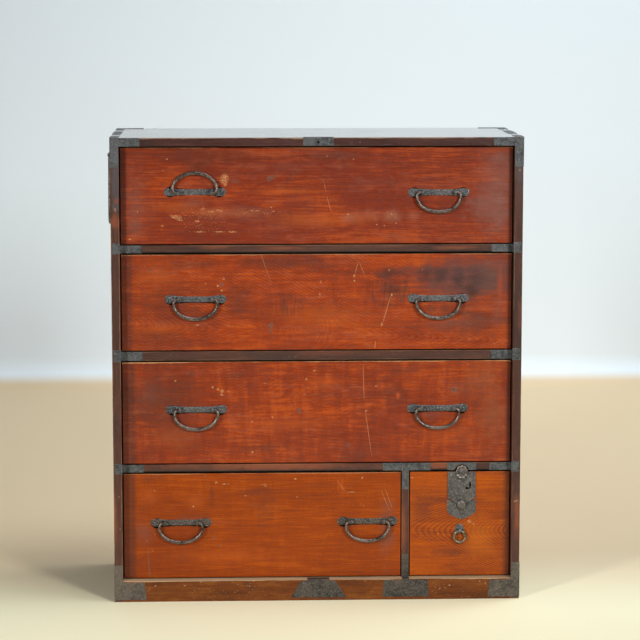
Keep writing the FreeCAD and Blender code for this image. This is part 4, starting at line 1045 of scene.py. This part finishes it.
# one forged plate with its middle at the origin, front towards -y
def makePullPlate():
    p = pullPlate
    plate = startPlate(p, 0, 0, 0, p["half"] * 0.002, 0.002)
    plate.name = "pullPlate"
    pick("EDGE", lambda e: runsAlong(e, 0))
    bpy.ops.mesh.subdivide(number_cuts=p["cuts"])
    pick("EDGE", lambda e: runsAlong(e, 2))
    bpy.ops.mesh.subdivide(number_cuts=p["cutsUp"])
    for i in range(p["cuts"] + 2):
        x = -p["half"] + 2 * p["half"] * i / (p["cuts"] + 1)
        pick("VERT", lambda v: abs(v.co.x - x / 1000) < near)
        resize(1, 1, plateHeight(abs(x)), (0, 0, 0))
    dent(lambda v: v.co.y < 0, p["dents"])
    setMode("OBJECT")
    soften(plate, p["edge"])
    return plate


def copyTo(source, name, place, turned=False):
    piece = duplicate(source, name)
    if turned:
        piece.rotation_euler = (0, math.pi, 0)
    piece.location = place
    setPlace()
    return piece


# what stands in front of and behind the plates: the eye pins, from the node's own mesh
def copyPins(nodeName, name, wood):
    piece = duplicate(nodes[nodeName], name)
    start, end = wood - pinCut["front"] - near, wood + pinCut["back"] + near
    setMode("EDIT")
    pick("FACE", lambda f: all(start < v.co.y < end for v in f.verts))
    bpy.ops.mesh.delete(type="FACE")
    bpy.ops.mesh.select_all(action="SELECT")
    bpy.ops.mesh.remove_doubles(threshold=pinCut["weld"])
    setMode("OBJECT")
    return piece


def makePulls():
    plate = makePullPlate()
    half = pullPlate["half"] / 1000
    for number in (1, 2, 3, 4):
        node = f"drawer_{number}_pull_irons"
        low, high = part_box(node)
        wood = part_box(f"drawer_{number}_front")[0].y
        middle = (low.z + high.z) / 2
        shift = pullPlate["uneven"] if number == 1 else 0.0
        left = copyTo(plate, "plateLeft", (low.x + half, wood, middle + shift))
        right = copyTo(plate, "plateRight", (high.x - half, wood, middle - shift), True)
        pins = copyPins(node, f"drawer_{number}_pullPlates", wood)
        hold(left, right, pins)
        bpy.ops.object.join()
        finishPiece(pins, irons["lowPullIron" if number == 4 else "pullIron"])
        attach(pins, f"drawer_{number}")
        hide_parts(node)
    bpy.data.objects.remove(plate)


# in millimetres
rosetteShape = {
    "petals": 9,
    "steps": 8,         # vertices round one petal
    "rim": (0.83, 0.93, 0.985, 1.0, 1.0),     # radius from a notch to the middle of a petal
    "thick": 2.4,
    "tall": 1.13,
    "field": ((2.2, 0.8), (0.6, 0.2)),        # in from the rim or the last step, and down
    "boss": 5.2,
    "step": 0.1,
    "rise": 2.0,
    "dome": ((0.45, 0.98), (0.30, 0.88), (0.17, 0.72), (0.08, 0.5)),     # share of the rise, shrink
    "edge": 0.35,
    "smooth": 45,       # edges below this many degrees
}


# flower-shaped rivet head: a lip round the petals, a dished field and a domed boss
def makeRosette():
    p = rosetteShape
    low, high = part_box("lock_rosette")
    middle = (low + high) / 2
    wide = (high.x - low.x) / 2
    around = p["petals"] * p["steps"]
    piece = startDisc("lockRosettePetals", around, wide, p["thick"] / 1000,
                      (middle.x, high.y - p["thick"] / 2000, middle.z))
    piece.scale = (1, p["tall"], 1)
    setPlace()
    setMode("EDIT")
    for step, size in enumerate(p["rim"]):
        def onStep(v):
            turn = math.atan2((v.co.z - middle.z) / p["tall"], v.co.x - middle.x) / (2 * math.pi)
            fromNotch = (round(turn * around) + 2) % p["steps"]
            return min(fromNotch, p["steps"] - fromNotch) == step
        pick("VERT", onStep)
        resize(size, 1, size, middle)
    pick("FACE", lambda f: facesFront(f) and len(f.verts) > p["steps"])
    left = wide * 1000
    for inwards, down in p["field"]:
        bpy.ops.mesh.inset(thickness=inwards / 1000)
        bpy.ops.transform.translate(value=(0, down / 1000, 0))
        left = left - inwards
    extrude(0, -p["step"] / 1000, 0)
    resize(p["boss"] / left, 1, p["boss"] / left, middle)
    for rise, size in p["dome"]:
        extrude(0, -p["rise"] * rise / 1000, 0)
        resize(size, 1, size, middle)
    setMode("OBJECT")
    soften(piece, p["edge"] / 1000)
    finishPiece(piece, irons["rosetteIron"], p["smooth"])
    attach(piece, "drawer_5")
    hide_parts("lock_rosette")


# in millimetres, dents in metres
buttonShape = {
    "around": 48,
    "radius": 9.4,
    "start": 0.6,
    "clear": 0.4,       # in front of the lock plate
    "dome": ((1.6, 0.99), (1.3, 0.93), (0.9, 0.84), (0.55, 0.70), (0.3, 0.5)),     # step forward, shrink
    "shank": 2.5,
    "dentsFrom": 0.8,
    "dents": (0.00012, 0.3, 3),
    "smooth": 50,
}


def makeButton():
    p = buttonShape
    low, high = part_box("lock_button")
    middle = (low + high) / 2
    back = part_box("lock_plate")[0].y - p["clear"] / 1000
    piece = startDisc("lockButtonDome", p["around"], p["radius"] / 1000, p["start"] / 1000,
                      (middle.x, back - p["start"] / 2000, middle.z))
    setPlace()
    setMode("EDIT")
    pick("FACE", facesFront)
    for forward, size in p["dome"]:
        extrude(0, -forward / 1000, 0)
        resize(size, 1, size, (middle.x, back, middle.z))
    pick("FACE", facesBack)
    bpy.ops.mesh.inset(thickness=(p["radius"] - p["shank"]) / 1000)
    extrude(0, high.y - back, 0)
    dent(lambda v: v.co.y < back - p["dentsFrom"] / 1000, p["dents"])
    setMode("OBJECT")
    finishPiece(piece, irons["buttonIron"], p["smooth"])
    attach(piece, "lock_slide")
    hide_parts("lock_button")


# half widths up the bell-shaped plate behind the ring, in millimetres from its foot
bellPlate = {
    "front": 1.2,
    "back": 0.25,
    "outline": ((0.0, 9.6), (1.2, 11.0), (3.0, 11.3), (6.0, 10.3), (9.0, 8.9), (12.0, 7.7), (14.5, 6.4),
                (16.2, 4.6), (17.2, 2.4)),
    "cuts": 5,
    "dents": (0.00014, 0.4, 8),
    "edge": 0.00042,
}


def makeEye():
    p = bellPlate
    low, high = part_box("ring_eye")
    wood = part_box("drawer_5_front")[0].y
    tall = p["outline"][-1][0]
    foot = high.z * 1000 - tall
    middle = (low.x + high.x) / 2
    plate = startPlate(p, middle, (foot + tall / 2) / 1000, wood, 0.002, tall / 1000)
    for z, half in p["outline"][1:-1]:
        bpy.ops.mesh.select_all(action="SELECT")
        bpy.ops.mesh.bisect(plane_co=(middle, wood, (foot + z) / 1000), plane_no=(0, 0, 1))
    pick("EDGE", lambda e: runsAlong(e, 0))
    bpy.ops.mesh.subdivide(number_cuts=p["cuts"])
    for z, half in p["outline"]:
        pick("VERT", lambda v: abs(v.co.z - (foot + z) / 1000) < near)
        resize(half, 1, 1, (middle, wood, 0))
    dent(lambda v: v.co.y < wood, p["dents"])
    setMode("OBJECT")
    soften(plate, p["edge"])
    pin = copyPins("ring_eye", "ringEyeBell", wood)
    hold(plate, pin)
    bpy.ops.object.join()
    finishPiece(pin, irons["eyeIron"])
    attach(pin, "drawer_5")
    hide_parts("ring_eye")


makePulls()
makeEye()
makeRosette()
makeButton()
print("pulls, rosette and button are forged")
